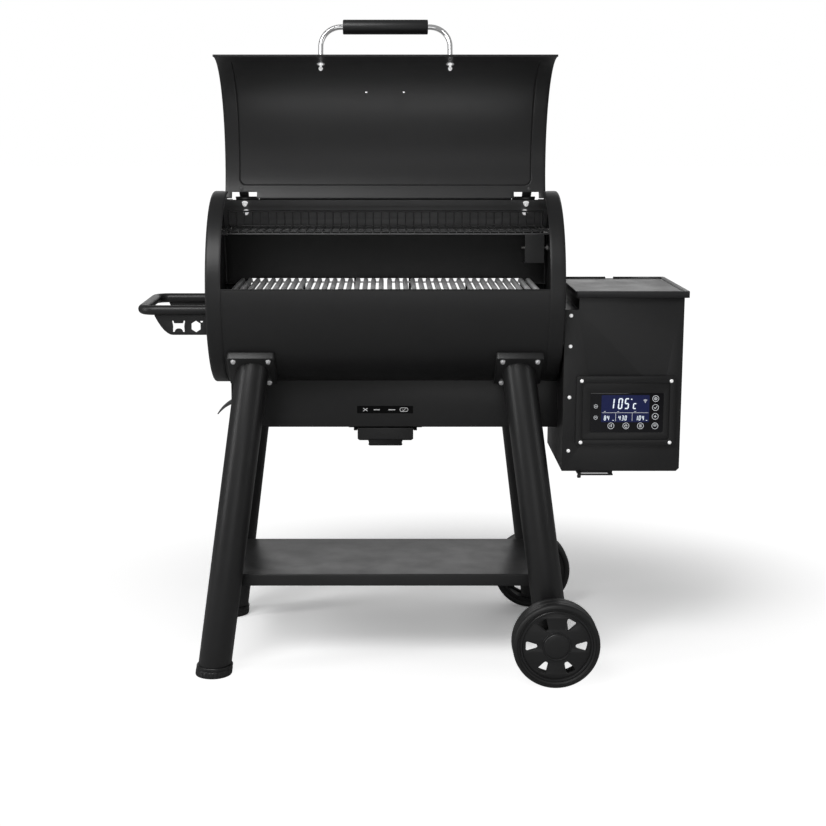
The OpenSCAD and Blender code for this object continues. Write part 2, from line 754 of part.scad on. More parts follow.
handle_bend_r = 45;
module lid_handle() color(bright) opened() radial(lid_handle_a) both_sides() {
  straight = lid_handle_x - handle_bend_r;
  translate([lid_handle_x, 0, lid_out_r + 0.6])
    cylinder(r = lid_tube_r, h = lid_handle_r - handle_bend_r - lid_out_r - 0.6);
  translate([lid_handle_x, 0, lid_out_r + 0.3]) cylinder(r = 9, h = 2);
  translate([lid_handle_x, 0, lid_r - 20]) cylinder(r = 3, h = 30);
  translate([straight, 0, lid_handle_r - handle_bend_r]) rotate([90, 0, 0])
    rotate_extrude(angle = 90) translate([handle_bend_r, 0]) circle(lid_tube_r);
  translate([0, 0, lid_handle_r]) rotate([0, 90, 0]) cylinder(r = lid_tube_r, h = straight);
}

module handle_grip() color(dark) opened() radial(lid_handle_a) difference() {
  translate([-95, 0, lid_handle_r]) rotate([0, 90, 0]) cylinder(r = 16.2, h = 190);
  translate([-96, 0, lid_handle_r]) rotate([0, 90, 0]) cylinder(r = lid_tube_r + 0.05, h = 192);
}

// Domed nuts inside the lid that hold the handle.
module handle_nuts() color(bright) opened() radial(lid_handle_a) both_sides()
  translate([lid_handle_x, 0, lid_r]) difference() {
    union() {
      translate([0, 0, -2]) cylinder(r = 8, h = 1.4);
      translate([0, 0, -18]) cylinder(r = 6.2, h = 5, $fn = 6);
      intersection() {
        translate([0, 0, -18]) sphere(5.4);
        translate([0, 0, -26]) cylinder(r = 6, h = 10);
      }
    }
    translate([0, 0, -20.1]) cylinder(r = 3.02, h = 30);
  }

// ---- Hopper ----

notch_right = 436;
notch_z = 838;
chamfer = 14;
function hopper_outline(t) = [[hop_left + t, hop_low + t],
  [hop_right - chamfer - t * 0.41, hop_low + t], [hop_right - t, hop_low + chamfer + t * 0.41],
  [hop_right - t, hop_top], [notch_right + t, hop_top], [notch_right + t, notch_z - t],
  [hop_left + t, notch_z - t]];
fascia_screws = [[418.5, 825], [418.5, 755], [418.5, 638], [418.5, 514]];
bezel_screws = [[445, 677], [648, 677], [445, 535], [648, 535]];
dump_x = [450, 512];
dump_y = [-125, -70];
inlet_face = [[600, 500], [636, 530]];

module screw_holes(r, y0, y1) {
  for (p = fascia_screws) translate([p.x, y1, p.y]) rotate([90, 0, 0]) cylinder(r = r, h = y1 - y0);
  for (p = bezel_screws) translate([p.x, y1, p.y]) rotate([90, 0, 0]) cylinder(r = r, h = y1 - y0);
}

// Hopper casing, folded from sheet, with a lip at the front that the fascia is screwed to.
module hopper_body() color(steel_black) {
  difference() {
    along_y(hop_front + sheet + 0.1, hop_back) polygon(hopper_outline(0));
    along_y(hop_front + 2 * sheet, hop_back - sheet) {
      polygon(hopper_outline(sheet));
      translate([notch_right + sheet, hop_top - 10])
        square([hop_right - notch_right - 2 * sheet, 20]);
    }
    along_y(hop_front - 1, hop_front + 5) {
      translate([430, 488]) square([220, 340]);
      translate([456, 800]) square([194, 80]);
    }
    translate([hop_left - 5, 0, auger_z]) rotate([0, 90, 0]) cylinder(r = auger_tube_r + 0.1, h = 10);
    box([hop_left - 5, 29.5, 552.5], [hop_left + 5, 56.5, 580.5]);
    box([dump_x[0], dump_y[0], hop_low - 5], [dump_x[1], dump_y[1], hop_low + 5]);
    box([inlet_face[0].x + 3, hop_back - 5, inlet_face[0].y + 3],
      [inlet_face[1].x - 3, hop_back + 5, inlet_face[1].y - 3]);
    for (z = [560:14:616]) box([500, hop_back - 5, z], [560, hop_back + 5, z + 5]);
    screw_holes(1.8, hop_front, hop_front + 10);
  }
  // Lugs for the hopper lid's pins.
  for (x = lid2_lugs) difference() {
    along_x(x - 8, x + 8) {
      translate([lid2_y, lid2_z]) circle(6);
      translate([hop_back - 0.5, lid2_z - 6]) square([lid2_y - hop_back + 0.5, 12]);
    }
    translate([x - 20, lid2_y, lid2_z]) rotate([0, 90, 0]) cylinder(r = 2.52, h = 40);
  }
  // Rails under the floor that guide the pellet gate.
  for (x = gate_x) {
    side = x < 480 ? -1 : 1;
    low_x = side < 0 ? x - 5.5 : x + 0.5;
    box([low_x, -160, 458.6], [low_x + 5, -45, hop_low + 0.1]);
    box([side < 0 ? x - 5.5 : x - 4, -160, 458.6], [side < 0 ? x + 4 : x + 5.5, -45, 461]);
  }
}

module hopper_fascia() color(steel_black) difference() {
  along_y(hop_front, hop_front + sheet) polygon(hopper_outline(0));
  along_y(hop_front - 1, hop_front + 5) translate([470, 562]) square([158, 82]);
  screw_holes(2.1, hop_front - 1, hop_front + 5);
}

// Funnel for the pellets, as the overlap of its front view and its side view.
module funnel(t) {
  top = hop_top - 0.6 + t;
  intersection() {
    along_y(-200, 200) polygon([[437.8 + t, top], [671.2 - t, top], [671.2 - t, 760], [531.5 - t, 660],
      [531.5 - t, 643 - t], [468.5 + t, 643 - t], [468.5 + t, 660], [437.8 + t, 760]]);
    along_x(400, 700) polygon([[-164.7 + t, top], [152.2 - t, top], [152.2 - t, 760], [31.5 - t, 660],
      [31.5 - t, 643 - t], [-31.5 + t, 643 - t], [-31.5 + t, 660], [-164.7 + t, 760]]);
  }
}

module hopper_bin() color(grey) {
  difference() {
    union() {
      funnel(0);
      box([dump_x[0] + 1, dump_y[0] + 1, hop_low + 1.6], [dump_x[1] - 1, dump_y[1] - 1, 741]);
    }
    funnel(sheet);
    box([dump_x[0] + 2.5, dump_y[0] + 2.5, hop_low], [dump_x[1] - 2.5, dump_y[1] - 2.5, 741]);
  }
}

// Wire screen across the bin that keeps fingers off the auger.
module finger_screen() color(bright) {
  for (y = [-40, 36]) box([439.6, y, 798], [669.4, y + 4, 802]);
  for (x = [466:26:648]) box([x, -163, 799], [x + 3, 150.5, 801]);
}

hopper_lid_low = 866;
plate_low = hop_top + 0.4;
module hopper_lid() color(grey) {
  difference() {
    union() {
      box([lid2_left, lid2_front, hopper_lid_low], [lid2_right, lid2_back, plate_low + 5.6]);
    }
    box([lid2_left + sheet, lid2_front + sheet, hopper_lid_low - 5],
      [lid2_right - sheet, lid2_back + 5, plate_low]);
    box([lid2_left + 9, lid2_front + 9, plate_low + sheet], [lid2_right - 9, lid2_back - 9, plate_low + 9]);
    box([538, lid2_back - 12, plate_low + sheet], [558, lid2_back + 5, plate_low + 9]);
  }
  for (x = lid2_lugs) for (side = [-1, 1]) difference() {
    along_x(x + side * 10.5 - 2, x + side * 10.5 + 2) {
      translate([lid2_y, lid2_z]) circle(6);
      polygon([[lid2_back - 5, plate_low + 0.2], [lid2_back, plate_low + 3], [lid2_y + 6, lid2_z],
        [lid2_y - 5, lid2_z + 3.4]]);
    }
    translate([x - 20, lid2_y, lid2_z]) rotate([0, 90, 0]) cylinder(r = 2.56, h = 40);
  }
}

bezel = [[433, 528], [659.5, 688]];
window = [[466, 558], [632, 649]];
bezel_front = hop_front - 8;
module control_bezel() color(dark) difference() {
  along_y(bezel_front, hop_front - 0.1)
    round_rect(bezel[0].x, bezel[0].y, bezel[1].x, bezel[1].y, 6);
  along_y(bezel_front - 1, bezel_front + 4)
    round_rect(bezel[0].x + 18, bezel[0].y + 16, bezel[1].x - 15, bezel[1].y - 18, 5);
  along_y(bezel_front - 1, hop_front + 1)
    translate(window[0]) square(window[1] - window[0]);
  screw_holes(2.1, bezel_front - 1, hop_front + 1);
}

// Glass front with its display module and circuit board behind it.
module control_screen() color([0.05, 0.07, 0.2]) {
  box([window[0].x + 0.3, bezel_front + 3.6, window[0].y + 0.3],
    [window[1].x - 0.3, hop_front - 0.4, window[1].y - 0.3]);
  box([480, hop_front - 1, 570], [618, hop_front + 8, 636]);
  box([472, hop_front + 8, 564], [626, hop_front + 10, 642]);
  for (x = [500:30:590]) box([x, hop_front + 10, 580], [x + 14, hop_front + 16, 600]);
}

module screw(length) {
  cylinder(r = 1.75, h = length);
  intersection() {
    translate([0, 0, length - 3]) sphere(5);
    translate([0, 0, length]) cylinder(r = 6, h = 10);
  }
}

module panel_screws() color(bright) {
  for (p = fascia_screws) translate([p.x, hop_front + 7.9, p.y]) rotate([90, 0, 0]) screw(8);
  for (p = bezel_screws) translate([p.x, hop_front + 7.9, p.y]) rotate([90, 0, 0]) screw(16);
}

// Appliance inlet at the back, with three pins in its recess.
module power_inlet() color(dark) {
  difference() {
    union() {
      box([inlet_face[0].x, hop_back + 0.1, inlet_face[0].y], [inlet_face[1].x, hop_back + 3, inlet_face[1].y]);
      box([inlet_face[0].x + 3.2, hop_back - 20, inlet_face[0].y + 3.2],
        [inlet_face[1].x - 3.2, hop_back + 1, inlet_face[1].y - 3.2]);
    }
    box([inlet_face[0].x + 6, hop_back - 16, inlet_face[0].y + 6],
      [inlet_face[1].x - 6, hop_back + 5, inlet_face[1].y - 6]);
  }
  for (p = [[-7, 2], [0, -3], [7, 2]])
    translate([(inlet_face[0].x + inlet_face[1].x) / 2 + p.x, 0, (inlet_face[0].y + inlet_face[1].y) / 2 + p.y])
      box([-1, hop_back - 17, -2.5], [1, hop_back - 1, 2.5]);
}

// Slide under the hopper that empties it, with its pull bar and knob.
module pellet_gate() color(dark) {
  box([gate_x[0] + 0.3, hop_front, 462], [gate_x[1] - 0.3, -60, 465.4]);
  box([441, hop_front - 8, 455], [522, hop_front, 465]);
  translate([443, hop_front - 4.7, 452]) cylinder(r = 4.5, h = 14);
}

placed() barrel_shell();
placed() left_end_cap();
placed() right_end_cap();
placed() grate_rails();
placed() cooking_grate_left();
placed() cooking_grate_right();
placed() warming_rack();
placed() rack_studs();
placed() heat_diffuser();
placed() probe_guard();
placed() temp_probe();
placed() exhaust_hood();
placed() grease_spout();
placed() burner_housing();
placed() fire_pot();
placed() igniter_rod();
placed() auger_tube();
placed() auger_screw();
placed() auger_motor();
placed() fan_housing();
placed() fan_impeller();
placed() ash_tray();
placed() tray_rails();
placed() leg_front_left();
placed() leg_front_right();
placed() leg_rear_left();
placed() leg_rear_right();
placed() leg_brackets();
placed() frame_bolts();
placed() foot_caps();
placed() leg_plugs();
placed() bottom_shelf();
placed() wheel_axle();
placed() axle_spacers();
placed() front_tyre();
placed() front_rim();
placed() rear_tyre();
placed() rear_rim();
placed() side_handle();
placed() handle_plate_front();
placed() handle_plate_rear();
placed() hinge_brackets();
placed() hinge_pins();
placed() hinge_nuts();
placed() lid_shell();
placed() lid_straps();
placed() lid_plate();
placed() lid_handle();
placed() handle_grip();
placed() handle_nuts();
placed() hopper_body();
placed() hopper_fascia();
placed() hopper_bin();
placed() finger_screen();
placed() hopper_lid();
placed() control_bezel();
placed() control_screen();
placed() panel_screws();
placed() power_inlet();
placed() pellet_gate();
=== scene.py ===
import math
import bpy
import bmesh
from mathutils import Matrix, Vector


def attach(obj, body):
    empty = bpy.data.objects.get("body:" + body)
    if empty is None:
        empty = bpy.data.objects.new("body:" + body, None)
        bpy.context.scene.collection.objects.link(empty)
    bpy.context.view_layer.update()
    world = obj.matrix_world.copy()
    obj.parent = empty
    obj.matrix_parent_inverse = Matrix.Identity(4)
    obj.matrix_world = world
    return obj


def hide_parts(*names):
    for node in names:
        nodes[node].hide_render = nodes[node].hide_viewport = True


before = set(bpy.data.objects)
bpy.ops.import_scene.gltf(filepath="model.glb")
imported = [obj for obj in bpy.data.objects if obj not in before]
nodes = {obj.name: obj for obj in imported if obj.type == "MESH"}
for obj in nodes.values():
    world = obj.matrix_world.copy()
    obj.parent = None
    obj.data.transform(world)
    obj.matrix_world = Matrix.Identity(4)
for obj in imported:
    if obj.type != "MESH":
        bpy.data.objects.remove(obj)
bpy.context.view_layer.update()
X0 = 57.9      # the grill's origin lies this far right of the barrel's middle, in mm
AXIS = 873.0   # height of the barrel's axis
HINGE = (60.0, 1116.5)
OPEN = 88.0


# ---- Geometry helpers. Points are in mm, from the middle of the barrel at floor level ----
def polar(r, a):
    return r * math.cos(math.radians(a)), r * math.sin(math.radians(a))


def opened(p):
    """A point of the shut lid, turned up to the rest pose."""
    c, s = math.cos(math.radians(-OPEN)), math.sin(math.radians(-OPEN))
    y, z = p[1] - HINGE[0], p[2] - HINGE[1]
    return p[0], HINGE[0] + y * c - z * s, HINGE[1] + y * s + z * c


def frame_at(origin, x, y, z):
    m = Matrix.Identity(4)
    for i, v in enumerate((x, y, z, origin)):
        for j in range(3):
            m[j][i] = v[j]
    return m


FRONT = frame_at((0, 0, 0), (1, 0, 0), (0, 0, 1), (0, -1, 0))


def across(x, y=0, z=0, side=1):
    """A frame drawn in Y and Z, whose own z runs along X."""
    return frame_at((x, y, z), (0, 1, 0), (0, 0, 1), (side, 0, 0))


SHARP = 32     # the bevels round edges that turn by more than this many degrees


def to_metres(p):
    """From mm about the barrel to metres about the grill's own origin."""
    return (p[0] - X0) / 1000, p[1] / 1000, p[2] / 1000


def add(name, verts, faces, mat, body, hides=(), smooth=30, bevel=0, seg=2, solid=0, turn=None):
    """A piece from points and faces. solid is a sheet thickness: minus grows it inward."""
    me = bpy.data.meshes.new(name)
    if turn:
        verts = [turn(v) for v in verts]
    me.from_pydata([to_metres(v) for v in verts], [], faces)
    me.validate()
    return wrap(name, me, mat, body, hides, smooth, bevel, seg, solid)


def wrap(name, me, mat, body, hides=(), smooth=30, bevel=0, seg=2, solid=0):
    """Gives a mesh its sheet thickness, soft edges, material and body."""
    bm = bmesh.new()
    bm.from_mesh(me)
    bmesh.ops.remove_doubles(bm, verts=bm.verts, dist=1e-6)
    if not solid:
        bmesh.ops.recalc_face_normals(bm, faces=bm.faces)
    bm.to_mesh(me)
    bm.free()
    ob = bpy.data.objects.new(name, me)
    bpy.context.scene.collection.objects.link(ob)
    me.materials.append(mat)
    if solid:
        m = ob.modifiers.new("thick", "SOLIDIFY")
        m.thickness = abs(solid) / 1000
        m.offset = 1 if solid > 0 else -1
    if bevel:
        m = ob.modifiers.new("bevel", "BEVEL")
        m.width = bevel / 1000
        m.segments = seg
        m.limit_method = "ANGLE"
        m.angle_limit = math.radians(SHARP)
    if smooth:
        for p in me.polygons:
            p.use_smooth = True
        m = ob.modifiers.new("edges", "EDGE_SPLIT")
        m.split_angle = math.radians(smooth)
        m.use_edge_sharp = False
    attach(ob, body)
    if hides:
        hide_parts(*([hides] if isinstance(hides, str) else hides))
    return ob


def box_mesh(a, b):
    v = [(x, y, z) for x in (a[0], b[0]) for y in (a[1], b[1]) for z in (a[2], b[2])]
    return v, [(0, 1, 3, 2), (4, 6, 7, 5), (0, 4, 5, 1), (2, 3, 7, 6), (0, 2, 6, 4), (1, 5, 7, 3)]


def merge(parts):
    verts, faces = [], []
    for v, f in parts:
        k = len(verts)
        verts += v
        faces += [tuple(i + k for i in q) for q in f]
    return verts, faces


def moved(part, m):
    return [tuple(m @ Vector(v)) for v in part[0]], part[1]


def reversed_faces(part):
    return part[0], [tuple(reversed(q)) for q in part[1]]


def flipped(part, axis):
    v = [tuple(-c if i == axis else c for i, c in enumerate(p)) for p in part[0]]
    return v, [tuple(reversed(q)) for q in part[1]]


def strips(rows, n):
    """The quads between rings of n points each."""
    return [(i * n + j, i * n + (j + 1) % n, (i + 1) * n + (j + 1) % n, (i + 1) * n + j)
            for i in range(rows - 1) for j in range(n)]


def rings_mesh(rings):
    """Rings of points joined into a skin, closed over the last one."""
    n = len(rings[0])
    last = (len(rings) - 1) * n
    return [p for r in rings for p in r], strips(len(rings), n) + [list(range(last, last + n))]


def lathe_mesh(profile, n=64):
    """Turns a closed outline of (radius, height) points about Z."""
    m = len(profile)
    verts = [(*polar(r, 360 * i / n), h) for i in range(n) for r, h in profile]
    faces = [(i * m + p, (i + 1) % n * m + p, (i + 1) % n * m + (p + 1) % m, i * m + (p + 1) % m)
             for i in range(n) for p in range(m)]
    return verts, faces


def tube_mesh(path, r, n=24):
    """Sweeps a ring along points."""
    pts = [Vector(p) for p in path]
    count = len(pts)
    verts = []
    t = (pts[1] - pts[0]).normalized()
    u = t.cross(Vector((0, 0, 1)) if abs(t.z) < 0.9 else Vector((1, 0, 0))).normalized()
    for i, p in enumerate(pts):
        t = (pts[min(i + 1, count - 1)] - pts[max(i - 1, 0)]).normalized()
        u = (u - t * u.dot(t)).normalized()
        w = t.cross(u)
        for k in range(n):
            c = 2 * math.pi * k / n
            verts.append(tuple(p + (u * math.cos(c) + w * math.sin(c)) * r))
    return verts, strips(count, n) + [list(range(n)), [(count - 1) * n + k for k in range(n)]]


def bent_path(points, r, steps=10):
    """Rounds the corners of a path to radius r."""
    pts = [Vector(p) for p in points]
    out = [pts[0]]
    for a, b, c in zip(pts, pts[1:], pts[2:]):
        u, v = (a - b).normalized(), (c - b).normalized()
        half = u.angle(v) / 2
        d = r / math.tan(half)
        centre = b + (u + v).normalized() * (r / math.sin(half))
        s, e = b + u * d - centre, b + v * d - centre
        ang = s.angle(e)
        for i in range(steps + 1):
            t = i / steps
            out.append(centre + (s * math.sin((1 - t) * ang) + e * math.sin(t * ang)) / math.sin(ang))
    return [tuple(p) for p in out + [pts[-1]]]


def arc(x, y, r, angles):
    return [(x + u, y + v) for u, v in (polar(r, a) for a in angles)]


def circle(x, y, r, n=32):
    return arc(x, y, r, [360 * i / n for i in range(n)])


def round_rect(x0, y0, x1, y1, r, n=6):
    pts = []
    for x, y, a in ((x1 - r, y0 + r, -90), (x1 - r, y1 - r, 0), (x0 + r, y1 - r, 90), (x0 + r, y0 + r, 180)):
        pts += arc(x, y, r, [a + 90 * i / n for i in range(n + 1)])
    return pts


def plate(name, loops, low, high, at, mat, body, hides=(), bevel=0.4, smooth=30):
    """A flat plate with holes and softened edges, from low to high along the frame's z."""
    cu = bpy.data.curves.new(name, "CURVE")
    cu.dimensions = "2D"
    cu.fill_mode = "BOTH"
    cu.extrude = (high - low) / 2 - bevel
    cu.bevel_depth = bevel
    cu.bevel_resolution = 1
    cu.offset = -bevel
    for loop in loops:
        sp = cu.splines.new("POLY")
        sp.points.add(len(loop) - 1)
        for p, (x, y) in zip(sp.points, loop):
            p.co = (x, y, 0, 1)
        sp.use_cyclic_u = True
    tmp = bpy.data.objects.new(name + "_tmp", cu)
    bpy.context.scene.collection.objects.link(tmp)
    bpy.context.view_layer.update()
    me = bpy.data.meshes.new_from_object(tmp.evaluated_get(bpy.context.evaluated_depsgraph_get()))
    bpy.data.objects.remove(tmp)
    bpy.data.curves.remove(cu)
    me.name = name
    for v in me.vertices:
        v.co = to_metres(at @ Vector((v.co.x, v.co.y, v.co.z + (low + high) / 2)))
    me.materials.clear()
    return wrap(name, me, mat, body, hides, smooth)


def prism_mesh(outline, a, b, at=Matrix.Identity(4)):
    n = len(outline)
    v = [(x, y, a) for x, y in outline] + [(x, y, b) for x, y in outline]
    return moved((v, [list(range(n)), list(range(n, 2 * n))] + strips(2, n)), at)


def cells(us, vs, keep, point):
    """A grid surface: keeps the cells for which keep(middle u, middle v) is true."""
    verts = [point(u, v) for u in us for v in vs]
    n = len(vs)
    faces = [(i * n + j, (i + 1) * n + j, (i + 1) * n + j + 1, i * n + j + 1)
             for i in range(len(us) - 1) for j in range(n - 1)
             if keep((us[i] + us[i + 1]) / 2, (vs[j] + vs[j + 1]) / 2)]
    return verts, faces


def ruled(a, b, step, marks=()):
    """Values from a to b at most step apart, with the marks among them."""
    out = [a]
    for m in sorted([x for x in marks if a < x < b]) + [b]:
        k = max(1, math.ceil((m - out[-1]) / step))
        s = out[-1]
        out += [s + (m - s) * (i + 1) / k for i in range(k)]
    return out


# ---- Materials ----
def new_node(nt, kind, **values):
    """A shader node with some of its inputs set; an underscore stands for a space."""
    node = nt.nodes.new("ShaderNode" + kind)
    for key, value in values.items():
        node.inputs[key.replace("_", " ")].default_value = value
    return node


def noise(nt, scale, detail=3.0):
    n = new_node(nt, "TexNoise", Scale=scale, Detail=detail)
    nt.links.new(new_node(nt, "TexCoord").outputs["Object"], n.inputs["Vector"])
    return n.outputs["Fac"]


def ramp(nt, fac, lo, hi, a=0.3, b=0.7):
    r = new_node(nt, "MapRange", From_Min=a, From_Max=b, To_Min=lo, To_Max=hi)
    nt.links.new(fac, r.inputs["Value"])
    return r.outputs["Result"]


def tint(color, by, lift=0.0):
    return (*[min(1, c * by + lift) for c in color], 1)


def blend(nt, fac):
    """Mixes two colours, whose sockets are A and B."""
    mix = nt.nodes.new("ShaderNodeMix")
    mix.data_type = "RGBA"
    nt.links.new(fac, mix.inputs["Factor"])
    return mix


def material(name, color, rough, metal=0.0, vary=0.12, rough_vary=0.06, bump=0.05, grain=900.0,
             patches=14.0, spec=0.5, worn=0.0, painted_glow=0.0):
    """A surface whose colour, roughness and bump all vary from place to place, with an optional even emission that is a
    painted highlight.
    """
    m = bpy.data.materials.new(name)
    m.use_nodes = True
    nt = m.node_tree
    b = nt.nodes["Principled BSDF"]
    b.inputs["Metallic"].default_value = metal
    b.inputs["Specular IOR Level"].default_value = spec
    b.inputs["Emission Color"].default_value = (1, 1, 1, 1)
    # Emission here is a painted highlight: the part glows faintly though it is no lamp.
    b.inputs["Emission Strength"].default_value = painted_glow
    broad = noise(nt, patches, 4.0)
    fine = noise(nt, grain, 2.0)
    both = new_node(nt, "Math")
    both.operation = "ADD"
    nt.links.new(ramp(nt, broad, 0, 0.55), both.inputs[0])
    nt.links.new(ramp(nt, fine, 0, 0.45), both.inputs[1])
    mix = blend(nt, both.outputs[0])
    mix.inputs["A"].default_value = tint(color, 1 - vary)
    mix.inputs["B"].default_value = tint(color, 1 + vary)
    if worn:
        bare = blend(nt, ramp(nt, noise(nt, 55.0, 8.0), 0, worn, 0.62, 0.72))
        bare.inputs["B"].default_value = tint(color, 1.6, 0.02)
        nt.links.new(mix.outputs["Result"], bare.inputs["A"])
        mix = bare
    nt.links.new(mix.outputs["Result"], b.inputs["Base Color"])
    nt.links.new(ramp(nt, broad, rough - rough_vary, rough + rough_vary), b.inputs["Roughness"])
    bp = new_node(nt, "Bump", Strength=bump, Distance=0.0004)
    nt.links.new(fine, bp.inputs["Height"])
    nt.links.new(bp.outputs["Normal"], b.inputs["Normal"])
    return m


def glow(name, color, strength):
    m = bpy.data.materials.new(name)
    m.use_nodes = True
    nt = m.node_tree
    b = nt.nodes["Principled BSDF"]
    b.inputs["Base Color"].default_value = tint(color, 0.3)
    b.inputs["Roughness"].default_value = 0.3
    b.inputs["Emission Color"].default_value = (*color, 1)
    nt.links.new(ramp(nt, noise(nt, 260.0), strength * 0.92, strength * 1.06), b.inputs["Emission Strength"])
    return m


ENAMEL = material("enamel", (0.0175, 0.0175, 0.018), 0.42, vary=0.1, rough_vary=0.02, bump=0.1, grain=1400)
STEEL = material("steel", (0.019, 0.019, 0.0195), 0.40, vary=0.1, rough_vary=0.015, bump=0.12, grain=1500)
INSIDE = material("inside", (0.045, 0.045, 0.0455), 0.5, vary=0.15, bump=0.12, grain=1100)
SHELF = material("shelf", (0.022, 0.022, 0.0225), 0.36, vary=0.1, bump=0.12, grain=1500)
HOPLID = material("hopper_lid", (0.03, 0.03, 0.031), 0.36, vary=0.12, bump=0.2, grain=1200)
GRATE = material("grate", (0.8, 0.8, 0.805), 0.38, metal=0.2, vary=0.25, bump=0.2, grain=700, patches=30,
                 worn=0.5)
RACK = material("rack_wire", (0.025, 0.025, 0.0255), 0.4, vary=0.2, bump=0.1)
# Chrome and zinc glow faintly: painted highlight.
CHROME = material("chrome", (0.86, 0.86, 0.87), 0.07, metal=1.0, vary=0.03, rough_vary=0.03, bump=0.02,
                  grain=300, painted_glow=0.16)
ZINC = material("zinc", (0.72, 0.72, 0.73), 0.34, metal=0.55, rough_vary=0.08, bump=0.08, grain=500,
                painted_glow=0.1)
RAW = material("raw_steel", (0.3, 0.295, 0.29), 0.42, metal=1.0, vary=0.2, rough_vary=0.1, bump=0.12,
               grain=300, worn=0.4)
PLASTIC = material("plastic", (0.014, 0.014, 0.0145), 0.46, vary=0.12, bump=0.25, grain=1300)
GRIP = material("grip", (0.02, 0.02, 0.0205), 0.42, vary=0.12, bump=0.3, grain=1200)
TYRE = material("tyre", (0.016, 0.016, 0.0163), 0.48, vary=0.18, bump=0.35, grain=900)
RIM = material("rim", (0.019, 0.019, 0.0195), 0.34, vary=0.12, bump=0.2, grain=1200)
GLASS = material("glass", (0.004, 0.004, 0.006), 0.08, vary=0.1, rough_vary=0.02, bump=0.0, grain=200)
BOARD = material("board", (0.01, 0.09, 0.035), 0.45, vary=0.2, bump=0.1, grain=500)
SCREEN = glow("screen", (0.004, 0.008, 0.058), 0.75)
DIGIT = glow("digit", (0.85, 0.93, 1.0), 0.95)
ICON = glow("icon", (0.8, 0.82, 0.85), 0.75)
# Print and screw heads glow: painted highlight.
PRINT = material("print", (0.85, 0.85, 0.85), 0.5, vary=0.05, bump=0.02, painted_glow=0.12)
SCREW = material("screw", (0.9, 0.9, 0.9), 0.25, metal=0.3, vary=0.04, bump=0.02, painted_glow=0.42)
SPOUT = material("spout", (0.12, 0.12, 0.122), 0.4, metal=0.2, vary=0.1, bump=0.05)
PRINTBACK = material("label_ground", (0.004, 0.004, 0.0042), 0.5, vary=0.1, bump=0.05, spec=0.1)
# The barrel's lining, with painted light: painted shade below the warming rack, painted light above it.
LINING = material("lining", (0.05, 0.05, 0.0505), 0.5, vary=0.15, rough_vary=0.02, bump=0.12, grain=1100)
lt = LINING.node_tree
l_pos = new_node(lt, "TexCoord")
l_sep = new_node(lt, "SeparateXYZ")
# Scales the lining's colour by height: darker under the warming rack as painted shade, brighter above it as painted
# light.
l_painted_light = new_node(lt, "MapRange", From_Min=0.985, From_Max=1.03, To_Min=0.22, To_Max=2.6)
l_painted_light.interpolation_type = "SMOOTHSTEP"
l_mul = new_node(lt, "VectorMath")
l_mul.operation = "SCALE"
l_base = lt.nodes["Principled BSDF"].inputs["Base Color"]
l_from = l_base.links[0].from_socket
lt.links.new(l_pos.outputs["Object"], l_sep.inputs[0])
lt.links.new(l_sep.outputs["Z"], l_painted_light.inputs["Value"])
lt.links.new(l_from, l_mul.inputs[0])
lt.links.new(l_painted_light.outputs["Result"], l_mul.inputs["Scale"])
lt.links.new(l_mul.outputs[0], l_base)




# ---- Cooking chamber ----
def at_axis(r, a, x):
    y, z = polar(r, a)
    return x, y, AXIS + z


def everywhere(u, v):
    return True


# Slots through the rear wall: their ends along X, and the angles of their edges.
VENTS = ((-335, -205), (-199, -78), (-72, 58), (64, 199), (205, 335))


VENT_LOW, VENT_TOP = 340.1, 359.4
REAR_EDGE = 63.4     # angle of the opening's rear edge; a full turn on comes back to it


def shell():
    r, half = 221.4, 393.8
    front_edge, step, inner, cap = 175.6, 92, 365, 378
    xs = ruled(-half, half, 40, (-cap, -inner, inner, cap, *[x for pair in VENTS for x in pair]))
    vs = ruled(REAR_EDGE, REAR_EDGE + 360, 2.5, (64, step, front_edge, VENT_LOW, VENT_TOP))

    def keep(x, a):
        if VENT_LOW < a < VENT_TOP and any(u < x < v for u, v in VENTS):
            return False
        return a > front_edge if abs(x) < inner else abs(x) > cap or a > step

    v, f = reversed_faces(cells(xs, vs, keep, lambda x, a: at_axis(r, a, x)))
    ob = add("barrel_skin", v, f, ENAMEL, "chassis", "barrel_shell", solid=-1.5, bevel=0.35)
    ob.data.materials.append(LINING)
    ob.modifiers["thick"].material_offset = 1
    # Rolled strip that stiffens the opening's front edge.
    add("barrel_front_hem", *tube_mesh([at_axis(220.6, 175.9, x) for x in (-364, 364)], 1.5, 12), ENAMEL, "chassis")
    # Turned-up lip along its rear edge, between the hinges.
    lip = cells((-301, 301), (220, 224.3), everywhere, lambda x, q: at_axis(q, 64, x))
    add("barrel_rear_lip", *lip, ENAMEL, "chassis", solid=-1.5, bevel=0.4)


def end_cap(side, name, node):
    prof = [(365, 223), (371, 223), (378, 223), (386, 223), (394, 223)]
    prof += [(394 + polar(6, a)[1], 217 + polar(6, a)[0]) for a in range(15, 91, 15)]
    prof += [(400, 214), (400, 190), (400, 120), (400, 60)]
    vs = ruled(REAR_EDGE, REAR_EDGE + 360, 3, (92,))
    verts, faces = cells(list(range(len(prof))), vs, lambda u, a: not (u < 2 and a < 92),
                         lambda u, a: at_axis(prof[u][1], a, side * prof[u][0]))
    k = len(verts)
    verts.append((side * 400, 0, AXIS))
    n = len(vs)
    last = (len(prof) - 1) * n
    faces += [(last + j + 1, last + j, k) for j in range(n - 1)]
    if side > 0:
        faces = [tuple(reversed(f)) for f in faces]
    add(name, verts, faces, ENAMEL, "chassis", node, solid=-1.5, bevel=0.3)


